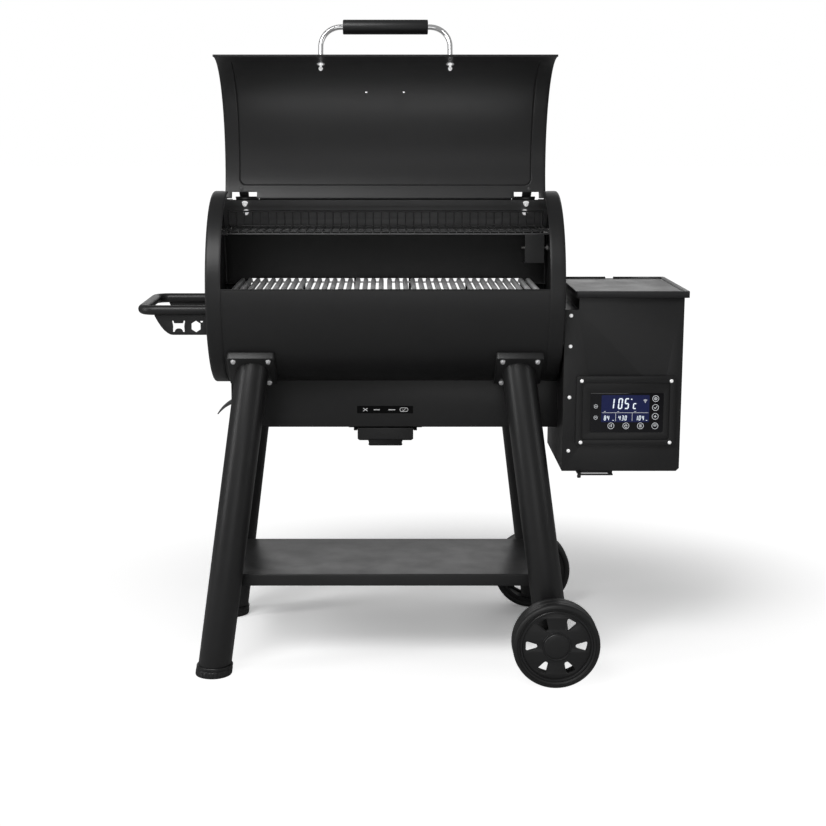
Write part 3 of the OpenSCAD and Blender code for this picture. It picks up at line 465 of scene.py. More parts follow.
def grates():
    flank = [(5.0, 863), (5.8, 864.4), (6.0, 866.5), (5.7, 869.5), (4.9, 871.3), (3.2, 872.4)]
    sec = [(-5.0, 863)] + flank + [(0, 873)] + [(-x, z) for x, z in reversed(flank[1:])]
    for side, name in ((-1, "left"), (1, "right")):
        parts = []
        for i in range(19):
            x = side * (19.1 * (i + 0.5) + 0.6)
            parts.append(prism_mesh([(p[0] + x, p[1]) for p in sec], -205, 205, FRONT))
        for y in (-202, -104, -2, 196):
            a, b = sorted((side * 9.6, side * 353.4))
            parts.append(box_mesh((a, y, 862), (b, y + 6, 865)))
        add("grate_" + name, *merge(parts), GRATE, "chassis", "cooking_grate_" + name, bevel=0.35, smooth=40)


def rack():
    parts = []
    half, front, back, floor_z = 376.5, -53.5, 103.5, 1006.5
    for i in range(40):
        x = -half + i * 2 * half / 39
        path = bent_path([(x, front, 999.5), (x, front, floor_z), (x, back, floor_z), (x, back, 1044)], 4, 4)
        parts.append(tube_mesh(path, 1.5, 8))
    for y, z, t in ((front, 1000.6, 2.4), (-3, 1003.2, 2.0), (52, 1003.2, 2.0), (101.5, 1043, 2.4),
                    (101, 1008.5, 2.0)):
        parts.append(tube_mesh([(-378, y, z), (378, y, z)], t, 10))
    for s in (-1, 1):
        x = s * 375.5
        path = bent_path([(x, front, 1000.5), (x, front, floor_z), (x, back, floor_z), (x, back, 1044)], 5, 5)
        parts.append(tube_mesh(path, 2.4, 10))
    add("warming_rack_wires", *merge(parts), RACK, "chassis", "warming_rack", smooth=60)


def mirrored(part, x=False, y=False):
    if x:
        part = flipped(part, 0)
    if y:
        part = flipped(part, 1)
    return part


def leg_axis(z):
    return Vector((397 - 0.1333 * z, 226.6 - 0.1243 * z, z))


def leg_ring(rings, n):
    """Rings about the rear right leg's line; each ring gives (height or None for its top, radii)."""
    a, d = leg_axis(0), (leg_axis(1) - leg_axis(0)).normalized()
    u = d.cross(Vector((0, 1, 0))).normalized()
    w = d.cross(u)
    # The bracket's plate, which the top is cut against.
    tilt = math.radians(40.4)
    out = Vector((0, math.sin(tilt), -math.cos(tilt)))
    verts = []
    for z, radius in rings:
        for k in range(n):
            c = 2 * math.pi * k / n
            base = a + (u * math.cos(c) + w * math.sin(c)) * radius(k)
            if z is None:
                way = (232.05 - (base - Vector((0, 0, AXIS))).dot(out)) / d.dot(out)
            else:
                way = (z - base.z) / d.z
            verts.append(tuple(base + d * way))
    return verts


def tube_leg(r, wall, z0, n=72):
    """A tube cut level at z0 and against its bracket at the top."""
    verts, faces = [], []
    for radius in (r, r - wall):
        verts += leg_ring([(z0, lambda k: radius), (None, lambda k: radius)], n)
    outer = strips(2, n)
    faces = outer + [tuple(reversed([i + 2 * n for i in q])) for q in outer]
    for ring in (0, n):
        for k in range(n):
            l = (k + 1) % n
            faces.append((ring + k, ring + l, 2 * n + ring + l, 2 * n + ring + k))
    return verts, faces


def legs():
    for x, y, cut, node in ((True, True, 5, "leg_front_left"), (True, False, 5, "leg_rear_left"),
                            (False, True, 58, "leg_front_right"), (False, False, 58, "leg_rear_right")):
        v, f = mirrored(tube_leg(38, 2, cut), x, y)
        add(node + "_tube", v, f, STEEL, "chassis", node, bevel=0.4, smooth=35)
    # Ribbed caps under the two left legs.
    prof = [(0, 38.5), (1.2, 41.2), (3, 42), (14, 42), (15.5, 40.6), (17.2, 40.6), (18.4, 41.6), (22.5, 41.6),
            (24, 40.6), (24, 38.2)]
    n = 120
    rings = [(z, lambda k, z=z, r=r: r - (0.9 if 3 <= z <= 14 and k % 4 < 2 else 0)) for z, r in prof]
    cap = leg_ring(rings, n), strips(len(prof), n) + [list(range(n))]
    both = merge([mirrored(cap, True, y) for y in (False, True)])
    add("foot_caps_ribbed", *both, PLASTIC, "chassis", "foot_caps", smooth=25)


def hex_head(r, h, dome=0.0, washer=0.0, washer_r=0.0):
    """A bolt head or nut that stands on z=0 and points along +z."""
    parts = []
    z = 0.0
    if washer:
        parts.append(lathe_mesh([(0.01, 0), (washer_r - 0.3, 0), (washer_r, 0.3), (washer_r, washer),
                                 (0.01, washer)], 32))
        z = washer
    v = [(*polar(r * by, 60 * k), h_) for by, h_ in ((1, z), (1, z + h - 0.6), (0.9, z + h)) for k in range(6)]
    parts.append((v, [tuple(reversed(range(6)))] + strips(3, 6) + [tuple(range(12, 18))]))
    if dome:
        foot, top = z + h - 0.2, z + h - 0.2 + dome * 0.95
        curve = [(polar(dome, a)[0], foot + polar(dome, a)[1] * 0.95) for a in range(15, 90, 15)]
        parts.append(lathe_mesh([(0.01, z + h - 0.3), (dome, foot)] + curve + [(0.01, top)], 24))
    return merge(parts)


def bracket_frame(x_side, y_side):
    """The bracket's frame: z points out of the barrel, y up its slope."""
    t = math.radians(40.4)
    return frame_at((x_side * 304, 0, AXIS), (1, 0, 0), (0, y_side * math.cos(t), math.sin(t)),
                    (0, y_side * math.sin(t), -math.cos(t)))


def brackets():
    plates, bolts = [], []
    corners = [(sx, sy) for sx in (-1, 1) for sy in (-1, 1)]
    for sx, sy in corners:
        m = bracket_frame(sx, sy)

        def wall(px, py):
            # How far along z the wall runs before it meets the barrel.
            p = m @ Vector((px, py, 0)) - Vector((0, 0, AXIS))
            zdir = (m @ Vector((0, 0, 1))) - (m @ Vector((0, 0, 0)))
            b = p.y * zdir.y + p.z * zdir.z
            c = p.y ** 2 + p.z ** 2 - 221.6 ** 2
            return max(-b + math.sqrt(max(b * b - c, 0)), 190)

        def ring(inset, r, z=None):
            return [(px, py, wall(px, py) if z is None else z)
                    for px, py in round_rect(-54 + inset, -60 + inset, 54 - inset, 52 - inset, r, 4)]

        # Pressed plate: a shallow pan with rounded corners whose walls reach the barrel.
        verts, faces = rings_mesh([ring(inset, 5 - inset * 0.6, z)
                                   for inset, z in ((0, None), (0, 229.6), (0.7, 231.3), (2.4, 232))])
        base, k = len(verts), len(verts) // 4
        verts += ring(3, 3, 229) + ring(3, 3)
        for j in range(k):
            l = (j + 1) % k
            faces.append((base + l, base + j, base + k + j, base + k + l))
            faces.append((l, j, base + k + j, base + k + l))
        faces.append(list(reversed(range(base, base + k))))
        plates.append(moved((verts, faces), m))
        for bx, by in ((-39.5, 42), (39.5, 42), (-37, -49), (37, -49)):
            head = hex_head(5.0, 4.6, washer=1.6, washer_r=5.8)
            turned = Matrix.Translation((bx, by, 232.05)) @ Matrix.Rotation(0.4, 4, "Z")
            bolts.append(moved(moved(head, turned), m))
            shank = lathe_mesh([(0.01, 0), (3, 0), (3, 27), (0.01, 27)], 16)
            bolts.append(moved(moved(shank, Matrix.Translation((bx, by, 204))), m))
    add("leg_bracket_pans", *merge(plates), STEEL, "chassis", "leg_brackets", smooth=35)
    # Bolts that hold the shelf's flanges to the legs.
    for sx, sy in corners:
        at = frame_at((sx * 356, sy * 148, 203), (1, 0, 0), (0, 0, -sy), (0, sy, 0))
        bolts.append(moved(hex_head(7, 5), at @ Matrix.Translation((0, 0, 3.4))))
        bolts.append(moved(lathe_mesh([(0.01, 8), (4, 8), (4, 33), (0.01, 33)], 24), at))
        bolts.append(moved(lathe_mesh([(4, 10.3), (6.9, 10.3), (6.9, 16), (4, 16)], 24), at))
    add("bracket_bolt_heads", *merge(bolts), ZINC, "chassis", "frame_bolts", smooth=30)


def shelf():
    # Folded sheet: top with rounded edges and four flanges.
    X, Y, T, B, R = 366, 158, 218, 190, 3
    prof = [(B, 0.0)] + [(T - R, 0.0)] + [(T - R + polar(R, a)[1], R - polar(R, a)[0]) for a in (18, 36, 54, 72, 90)]
    rings = [[(x, y, z) for x, y in round_rect(-X + inset, -Y + inset, X - inset, Y - inset, 3.2, 4)]
             for z, inset in prof]
    add("shelf_pan", *rings_mesh(rings), SHELF, "chassis", "bottom_shelf", solid=-1.5, smooth=40)
    ribs = [box_mesh((-364, y, 202), (364, y + 1.5, 216.4)) for y in (-60, 58.5)]
    add("shelf_ribs", *merge(ribs), SHELF, "chassis")


def wheel(sy, name, nodes_):
    R = 98.4
    at = frame_at((397 - 0.1333 * R, sy * 268, R), (1, 0, 0), (0, 0, 1), (0, sy, 0))
    w = 60
    # Tyre with rounded shoulders and shallow circumferential grooves.
    prof = [(83.2, 3), (86, 1), (91, 0.6)] + arc(R - 8.7, 9, 8.7, range(-75, 1, 15))
    for z in (19.5, 40.5):
        prof += [(R, z - 1.6), (R - 1.1, z - 0.9), (R - 1.1, z + 0.9), (R, z + 1.6)]
    prof += arc(R - 8.7, w - 9, 8.7, range(0, 76, 15))
    prof += [(89.6, w - 0.3), (88.9, w - 1.5), (87.9, w - 1.5), (87.2, w - 0.5), (83.2, w - 2.6)]
    add(name + "_tyre_body", *moved(lathe_mesh(prof, 120), at), TYRE, name, nodes_[0], smooth=35)
    # Rim: a deep outer ring, a nearly flush disc with six small tapered windows, and a hub cap.
    ring = [(82.8, 4), (82.8, w - 3.2), (81.6, w - 2.2), (78.2, w - 2.2), (77.2, w - 3.4), (76.6, w - 6),
            (76.4, 46), (75.4, 42), (75.4, 4)]
    parts = [lathe_mesh(ring, 120), lathe_mesh([(8.1, 0), (16.5, 0), (17, 0.8), (17, 47), (8.1, 47)], 64)]
    add(name + "_rim_ring", *moved(merge(parts), at), RIM, name, smooth=35)
    holes = []
    quad = ((43, -4), (69, -12), (69, 12), (43, 4))
    for i in range(6):
        c = math.radians(60 * i)
        pts = []
        for (x0, y0), (x1, y1) in zip(quad, quad[1:] + quad[:1]):
            for t in (0.12, 0.5, 0.88):
                px, py = x0 + (x1 - x0) * t, y0 + (y1 - y0) * t
                pts.append((px * math.cos(c) - py * math.sin(c), px * math.sin(c) + py * math.cos(c)))
        holes.append(pts)
    plate(name + "_rim_disc", [circle(0, 0, 76.9, 120), circle(0, 0, 8.2, 32)] + holes, 45.5, 53.5, at, RIM, name,
          nodes_[1], bevel=1.0)
    cap = [(0.01, 59), (16, 58.8), (24, 58.2), (27.4, 57.2), (28.8, 55.8), (29.2, 54.9), (30.4, 54.7),
           (32.2, 55.6), (33, 54.8), (33, 52), (0.01, 52)]
    add(name + "_hub_cap", *moved(lathe_mesh(cap, 72), at), RIM, name, smooth=50)


def side_handle():
    path = bent_path([(x, y, 832.5) for x, y in ((-400.3, -126), (-556, -126), (-556, 126), (-400.3, 126))], 30, 14)
    add("side_handle_tube", *tube_mesh(path, 11.2, 32), STEEL, "chassis", "side_handle", smooth=40)
    low, hi = 775.6, 827
    edge = [(-528, hi), (-525.5, 818), (-519, 806), (-512, 795), (-505, 786.5), (-497, 779.8), (-491, 776.6),
            (-485, low), (-400.3, low), (-400.3, hi)]
    # Bottle opener and hexagonal tool hole, about their middles.
    ox, oz = -471.5, 795.5
    side = [(13.2, -13), (13.0, -7), (12.6, -1), (13.2, 5), (14.4, 10), (14.0, 12.6), (12.4, 13), (11.2, 11.4),
            (10.6, 8), (9.4, 6.8)]
    foot = [(-9.6, -13), (-9.0, -10), (-7, -7.2), (-4, -5.4), (0, -4.8), (4, -5.4), (7, -7.2), (9.0, -10), (9.6, -13)]
    opener = foot + side + [(-px, pz) for px, pz in reversed(side)]
    opener = [(ox + px, oz + pz) for px, pz in opener]
    hx = [(ox + 39.5 + polar(11.8, 90 + 60 * k)[0], oz - 0.5 + polar(13.2, 90 + 60 * k)[1]) for k in range(6)]
    for sy, holes, node in ((1, [opener, hx, circle(ox + 52.5, oz + 11.5, 3, 20)], "handle_plate_front"),
                            (-1, [], "handle_plate_rear")):
        at = frame_at((0, -126 * sy, 0), (1, 0, 0), (0, 0, 1), (0, -1, 0))
        plate(node + "_sheet", [edge] + holes, -1.5, 1.5, at, STEEL, "chassis", node, bevel=0.5)
        y0, y1 = sorted((-126 * sy, -96 * sy))
        add(node + "_tab", *box_mesh((-402.3, y0, low), (-400.3, y1, 822)), STEEL, "chassis", bevel=0.6)
        # Weld bead between the tube and the plate.
        bead = tube_mesh([(-520, -126 * sy, 821.5), (-404, -126 * sy, 821.5)], 2.2, 10)
        add(node + "_weld", *bead, STEEL, "chassis", smooth=60)


# ---- Lid ----
def lid():
    x_in, a_low, a_high, rad = 343.3, 72.1, 164.6, 18.0
    R = 226.5
    near = ruled(322, 345, 0.6)
    far = ruled(0, 322, 9, (301,))
    half = far + near[1:] + [352, 359, 367, 375]
    xs = [-x for x in reversed(half[1:])] + half
    vs = ruled(64.5, 71.5, 1.3, (68.4,)) + ruled(71.5, 77.5, 0.16)[1:] + ruled(77.5, 159, 1.6)[1:]
    vs += ruled(159, 165.2, 0.16)[1:] + ruled(165.2, 179.7, 1.6)[1:]

    def depth(x, a):
        s = math.radians(a) * R
        lo, hi = math.radians(a_low) * R, math.radians(a_high) * R
        cx, cs = abs(x), abs(s - (lo + hi) / 2)
        qx, qs = cx - (x_in - rad), cs - ((hi - lo) / 2 - rad)
        d = math.hypot(max(qx, 0), max(qs, 0)) + min(max(qx, qs), 0) - rad
        t = min(max(-d / 1.7, 0), 1)
        return 2.2 * t * t * (3 - 2 * t) + 1.3 * math.exp(-((d + 2.4) / 1.1) ** 2)

    def point(x, a):
        return at_axis(R + depth(x, a), a, x)

    v, f = reversed_faces(cells(xs, vs, lambda x, a: a > 68.4 or not 301 < abs(x) < 359, point))
    add("lid_skin", v, f, ENAMEL, "lid", "lid_shell", solid=-1.5, bevel=0.3, turn=opened, smooth=24)
    # Rolled hem along the front edge.
    hem = tube_mesh([at_axis(227.3, 179.2, x) for x in (-375, 375)], 2.3, 16)
    add("lid_front_hem", *hem, ENAMEL, "lid", turn=opened, smooth=50)


def radial(a, x):
    c, s = polar(1, a)
    return frame_at((x, 0, AXIS), (1, 0, 0), (0, s, -c), (0, c, s))


def inward(a, x, r):
    """A frame on radius r whose z points at the barrel's axis."""
    return radial(a, x) @ Matrix.Translation((0, 0, r)) @ Matrix.Rotation(math.pi, 4, "X")


def lid_parts():
    # Chrome handle.
    r0, r1 = 226.9, 315
    m = radial(157, 0)
    loop = bent_path([(-144, 0, r0), (-144, 0, r1), (144, 0, r1), (144, 0, r0)], 45, 16)
    foot = lathe_mesh([(0.01, 0), (8.6, 0), (9, 0.4), (9, 1.6), (8.4, 2), (0.01, 2)], 40)
    feet = [moved(foot, radial(157, x) @ Matrix.Translation((0, 0, 226.8))) for x in (-144, 144)]
    bar = merge([tube_mesh([tuple(m @ Vector(p)) for p in loop], 6, 32)] + feet)
    add("lid_handle_bar", *bar, CHROME, "lid", "lid_handle", turn=opened, smooth=40)
    grip = [(6.1, 0), (14.4, 0), (15.7, 0.7), (16.2, 2.2), (16.2, 187.8), (15.7, 189.3), (14.4, 190), (6.1, 190)]
    grip = moved(lathe_mesh(grip, 64), m @ Matrix.Translation((0, 0, r1)) @ across(-95))
    add("handle_grip_sleeve", *grip, GRIP, "lid", "handle_grip", turn=opened, smooth=40)
    # Threaded ends and domed nuts inside the lid.
    parts = []
    for x in (-144, 144):
        down = inward(157, x, 227.2)
        thread = [(0.01, -0.6)]
        for i in range(12):
            thread += [(2.6, i * 1.0), (2.2, i * 1.0 + 0.5)]
        thread += [(2.6, 12), (0.01, 12)]
        parts.append(moved(lathe_mesh(thread, 24), down))
        parts.append(moved(lathe_mesh([(2, 0), (4.9, 0), (5.2, 0.3), (5.2, 1.2), (4.9, 1.4), (2, 1.4)], 32), down))
        parts.append(moved(hex_head(4.8, 3.4, dome=4.0), down @ Matrix.Translation((0, 0, 8.6))))
    add("handle_dome_nuts", *merge(parts), SCREW, "lid", "handle_nuts", turn=opened, smooth=35)
    # Straps with the hinge lugs.
    hx, hy, hz = 337, HINGE[0], HINGE[1] - AXIS
    ear = [polar(229.2, 78.5)] + arc(hy, hz, 9, range(-75, 106, 15)) + [polar(229.2, 94)]
    ear += [polar(229, a) for a in (91, 88, 85, 82)]
    for side, name in ((-1, "left"), (1, "right")):
        base = cells(ruled(hx - 20, hx + 20, 8), ruled(78.5, 95, 1.2), everywhere,
                     lambda x, a: at_axis(231.0, a, side * x))
        add(f"strap_{name}_base", *(base if side < 0 else reversed_faces(base)), STEEL, "lid",
            "lid_straps" if side < 0 else (), solid=-2, bevel=0.4, turn=opened)
        for off, end in ((-15, "in"), (11, "out")):
            me = plate(f"strap_{name}_ear_{end}", [ear, circle(hy, hz, 4.06, 32)], 0, 4,
                       across(side * (hx + off), 0, AXIS, side), STEEL, "lid", bevel=0.6)
            for vert in me.data.vertices:
                vert.co = to_metres(opened((vert.co.x * 1000 + X0, vert.co.y * 1000, vert.co.z * 1000)))
    # Dark bolt heads near the notches, and the plain plate with its two pins.
    head = lathe_mesh([(0.01, 0), (4.6, 0), (4.2, 0.8), (2.5, 1.3), (0.01, 1.4)], 24)
    rivets = merge([moved(head, inward(70.4, x, 225.1)) for x in (-hx, hx)])
    add("strap_rivets", *rivets, INSIDE, "lid", turn=opened)
    badge = cells(ruled(-62, 62, 4), ruled(127.2, 134.0, 0.6), everywhere, lambda x, a: at_axis(230.6, a, x))
    add("badge_blank", *badge, CHROME, "lid", "lid_plate", solid=-1.5, bevel=0.5, turn=opened)
    parts = []
    for x in (-44, 42):
        at = inward(130.6, x, 230)
        parts.append(moved(lathe_mesh([(0.01, -1), (1.5, -1), (1.5, 5.4), (0.01, 5.4)], 12), at))
        parts.append(moved(lathe_mesh([(0.01, 4.2), (2.6, 4.2), (2.4, 5.6), (0.01, 6)], 16), at))
    add("badge_pins", *merge(parts), CHROME, "lid", turn=opened)


def hinges():
    hy, hz = HINGE[0], HINGE[1] - AXIS
    lug = arc(hy, hz, 9, range(38, 224, 14)) + [polar(223.5, 63), polar(223.2, 60), polar(223.2, 55), polar(223.5, 52)]
    for side, name in ((-1, "left"), (1, "right")):
        base = cells(ruled(302, 357, 8), ruled(45, 67, 1.5), everywhere, lambda x, a: at_axis(224, a, side * x))
        add(f"hinge_{name}_base", *(base if side < 0 else reversed_faces(base)), STEEL, "chassis",
            "hinge_brackets" if side < 0 else (), solid=-2.5, bevel=0.5)
        plate(f"hinge_{name}_lug", [lug, circle(hy, hz, 4.02, 32)], -10.5, 10.5, across(side * 337, 0, AXIS, side),
              STEEL, "chassis", bevel=0.8)
    pins, nuts = [], []
    for x in (-337, 337):
        pin = lathe_mesh([(0.01, 0), (3.4, 0), (4, 0.6), (4, 33.4), (3.4, 34), (0.01, 34)], 32)
        pins.append(moved(pin, across(x - 17, *HINGE)))
        for a in (60.5, 50):
            nuts.append(moved(hex_head(6.0, 5.4, dome=5.0, washer=0.9, washer_r=7.2), inward(a, x, 219.6)))
            nuts.append(moved(lathe_mesh([(0.01, 212), (3, 212), (3, 224.1), (0.01, 224.1)], 16), radial(a, x)))
            head = lathe_mesh([(0.01, 224), (5.6, 224), (5.2, 226), (3.4, 227.2), (0.01, 227.6)], 24)
            nuts.append(moved(head, radial(a, x)))
    for x in LUGS:
        pin = lathe_mesh([(0.01, 0), (2.1, 0), (2.5, 0.4), (2.5, 27.6), (2.1, 28), (0.01, 28)], 24)
        pins.append(moved(pin, across(x - 14, *LUG_PIN)))
    add("hinge_pin_rods", *merge(pins), ZINC, "chassis", "hinge_pins", smooth=40)
    add("hinge_dome_nuts", *merge(nuts), SCREW, "chassis", "hinge_nuts", smooth=35)


# ---- Hopper ----
HL, HR, HB, HZ0, HZ1 = 404, 673, 154, 466.5, 875
LUGS, LUG_PIN = (475, 630), (162, 868)     # the lid's two hinges along X, and their pins in Y and Z


def outline(t=0.0, top=HZ1):
    return [(HL + t, HZ0 + t), (HR - 7 - t * 0.41, HZ0 + t), (HR - t, HZ0 + 7 + t * 0.41), (HR - t, top),
            (436 + t, top), (436 + t, 838 - t), (HL + t, 838 - t)]


def hopper():
    # Casing: a band of sheet folded round the outline, with a back wall and a lip at the front.
    pts = outline()
    n = len(pts)
    verts = [(x, y, z) for y in (-166.4, HB) for x, z in pts]
    mouth = 3          # the top edge stays open for the bin
    faces = [q for i, q in enumerate(strips(2, n)) if i != mouth] + [[n + i for i in range(n)]]
    case = reversed_faces((verts, faces))
    add("hopper_case", *case, STEEL, "chassis", "hopper_body", solid=-1.5, bevel=1.4, seg=3)
    lip = round_rect(430, 488, 650, 790, 4)
    plate("hopper_front_lip", [outline(1.6, HZ1 - 0.2), lip], 165, 166.3, FRONT, STEEL, "chassis", bevel=0.2)
    plate("fascia_sheet", [outline(), round_rect(470, 562, 628, 644, 2)], 166.5, 168, FRONT, STEEL, "chassis",
          "hopper_fascia", bevel=0.5)
    # Louvres in the back wall, and the hopper lid's hinge lugs.
    parts = [box_mesh((502, 153.9, z), (558, 155.2, z + 4)) for z in range(560, 617, 14)]
    add("hopper_louvres", *merge(parts), INSIDE, "chassis", bevel=0.4)
    lug = arc(*LUG_PIN, 6, range(-90, 91, 15)) + [(153.8, 874), (153.8, 862)]
    for i, x in enumerate(LUGS):
        plate(f"hopper_lug_{i}", [lug, circle(*LUG_PIN, 2.52, 24)], -8, 8, across(x), STEEL, "chassis", bevel=0.6)
    # Guide rails for the slide that empties the hopper.
    parts = []
    for s, x in ((-1, 446), (1, 516)):
        a, b = sorted((x + s * 0.5, x + s * 5.5))
        parts.append(box_mesh((a, -160, 458.6), (b, -45, 466.6)))
        a, b = sorted((x - s * 4, x + s * 5.5))
        parts.append(box_mesh((a, -160, 458.6), (b, -45, 461)))
    add("gate_rails", *merge(parts), STEEL, "chassis", bevel=0.3)
    # Slide with its pull bar and knob.
    sheet, pull = box_mesh((446.3, -168, 462), (515.7, -60, 465.4)), box_mesh((446, -174.6, 457.6), (521, -168, 461.4))
    add("gate_sheet", *sheet, STEEL, "pellet_gate", "pellet_gate", bevel=0.5)
    add("gate_pull", *pull, STEEL, "pellet_gate", bevel=1.0, seg=3)
    knob = [(0.01, 452), (3.4, 452), (4.4, 453), (4.5, 458), (3.2, 460), (3.2, 463), (4.4, 464.5), (4.4, 465.6),
            (0.01, 465.9)]
    knob = moved(lathe_mesh(knob, 32), Matrix.Translation((443.6, -172.4, 0)))
    add("gate_knob", *knob, PLASTIC, "pellet_gate", smooth=40)
    bin_()
    hopper_lid()
    control()
    back_inlet()


def bin_():
    rings = [[(x0, y0, z), (x1, y0, z), (x1, y1, z), (x0, y1, z)] for z, x0, x1, y0, y1 in
             ((874, 438, 671, -164.5, 152), (760, 438, 671, -164.5, 152), (660, 468.5, 531.5, -31.5, 31.5),
              (643, 468.5, 531.5, -31.5, 31.5))]
    verts, faces = rings_mesh(rings)
    funnel = reversed_faces((verts, faces[:-1]))
    add("bin_funnel", *funnel, ZINC, "chassis", "hopper_bin", solid=-1.4, bevel=1.2)
    wires = [tube_mesh([(439, y, 800), (670, y, 800)], 1.9, 10) for y in (-38, 38)]
    wires += [tube_mesh([(x, -164, 801.6), (x, 151, 801.6)], 1.5, 10) for x in range(464, 649, 23)]
    add("bin_finger_screen", *merge(wires), CHROME, "chassis", "finger_screen", smooth=60)


def hopper_lid():
    x0, x1, y0, y1, low, top = 427, 683, -178, 160, 866, 881
    # Pressed tray: flange, rolled rim and sunk plate.
    rings = [[(px, py, z) for px, py in round_rect(x0 + inset, y0 + inset, x1 - inset, y1 - inset * 0.98,
                                                   max(6 - inset * 0.2, 2.5))]
             for inset, z in ((0, low), (0, top - 1.4), (0.4, top - 0.4), (1.4, top), (7.2, top), (8.3, top - 0.5),
                              (8.9, top - 1.6), (9.4, 877.9), (10.2, 877.1), (11.5, 876.9))]
    ob = add("hopper_lid_tray", *rings_mesh(rings), HOPLID, "hopper_lid", "hopper_lid", smooth=28)
    # Cut the gap in the back rim and the open back, then give the sheet its thickness.
    cut(ob, box_mesh((538, 146, 877.1), (558, 166, 890)))
    cut(ob, box_mesh((438, 157, 850), (672, 166, 874.8)))
    s = ob.modifiers.new("thick", "SOLIDIFY")
    s.thickness = 0.0014
    s.offset = -1
    ear = arc(*LUG_PIN, 6, range(180, 391, 15)) + [(166, 872.5), (160, 878.2), (155, 875.6)]
    for x in LUGS:
        for off, end in ((-10.5, "a"), (10.5, "b")):
            plate(f"hopper_lid_ear_{x}_{end}", [ear, circle(*LUG_PIN, 2.56, 24)], -2, 2, across(x + off), HOPLID,
                  "hopper_lid", bevel=0.4)


def cut(ob, part):
    """Cuts a box-shaped hole out of a piece, for good."""
    me = bpy.data.meshes.new("cutter")
    me.from_pydata([to_metres(p) for p in part[0]], [], part[1])
    bm = bmesh.new()
    bm.from_mesh(me)
    bmesh.ops.recalc_face_normals(bm, faces=bm.faces)
    bm.to_mesh(me)
    bm.free()
    tool = bpy.data.objects.new("cutter", me)
    bpy.context.scene.collection.objects.link(tool)
    others = [m for m in ob.modifiers if m.show_viewport]
    for m in others:
        m.show_viewport = False
    b = ob.modifiers.new("cut", "BOOLEAN")
    b.operation = "DIFFERENCE"
    b.object = tool
    b.solver = "EXACT"
    bpy.context.view_layer.update()
    done = bpy.data.meshes.new_from_object(ob.evaluated_get(bpy.context.evaluated_depsgraph_get()))
    ob.modifiers.remove(b)
    for m in others:
        m.show_viewport = True
    done.name = ob.data.name + "_c"
    ob.data = done
    bpy.data.objects.remove(tool)


SEG = {"0": "abcdef", "1": "bc", "3": "abgcd", "4": "fgbc", "5": "afgcd", "8": "abcdefg", "c": "ged"}


def digit(ch, x, z, w, h, t, slant=0.09):
    """Seven-segment strokes of one character, as outlines in the front plane."""
    g = t * 0.18
    boxes = {"a": (t * .5 + g, h - t, w - t * .5 - g, h), "d": (t * .5 + g, 0, w - t * .5 - g, t),
             "g": (t * .5 + g, h / 2 - t / 2, w - t * .5 - g, h / 2 + t / 2),
             "f": (0, h / 2 + g, t, h - t * .5 - g), "b": (w - t, h / 2 + g, w, h - t * .5 - g),
             "e": (0, t * .5 + g, t, h / 2 - g), "c": (w - t, t * .5 + g, w, h / 2 - g)}
    return [[(x + px + slant * pz, z + pz) for px, pz in ((a, b), (c, b), (c, d), (a, d))]
            for a, b, c, d in (boxes[s] for s in SEG[ch])]


def flat(name, loops, y, mat, body, thick=0.25):
    """Thin shapes that stand on a front-facing plane at y."""
    return add(name, *merge([prism_mesh(l, -y, -y + thick, FRONT) for l in loops]), mat, body, smooth=0)


def arc_loop(cx, cz, r0, r1, a0, a1, n=16):
    return arc(cx, cz, r1, [a0 + (a1 - a0) * i / n for i in range(n + 1)]) + \
        arc(cx, cz, r0, [a1 - (a1 - a0) * i / n for i in range(n + 1)])


def ring_loops(cx, cz, r, w, n=32):
    return [arc_loop(cx, cz, r - w, r, 0, 179.9, n // 2), arc_loop(cx, cz, r - w, r, 180, 359.9, n // 2)]


def bar_loop(x0, z0, x1, z1, w):
    d = Vector((x1 - x0, z1 - z0)).normalized()
    p = Vector((-d.y, d.x)) * w / 2
    return [(x0 + p.x, z0 + p.y), (x1 + p.x, z1 + p.y), (x1 - p.x, z1 - p.y), (x0 - p.x, z0 - p.y)]


def strokes(cx, cz, bars=(), arcs=()):
    """A mark about (cx, cz): bars (x0, z0, x1, z1, width) and arcs (x, z, r0, r1, a0, a1, steps)."""
    return [bar_loop(cx + a, cz + b, cx + c, cz + d, w) for a, b, c, d, w in bars] + \
        [arc_loop(cx + x, cz + z, *rest) for x, z, *rest in arcs]


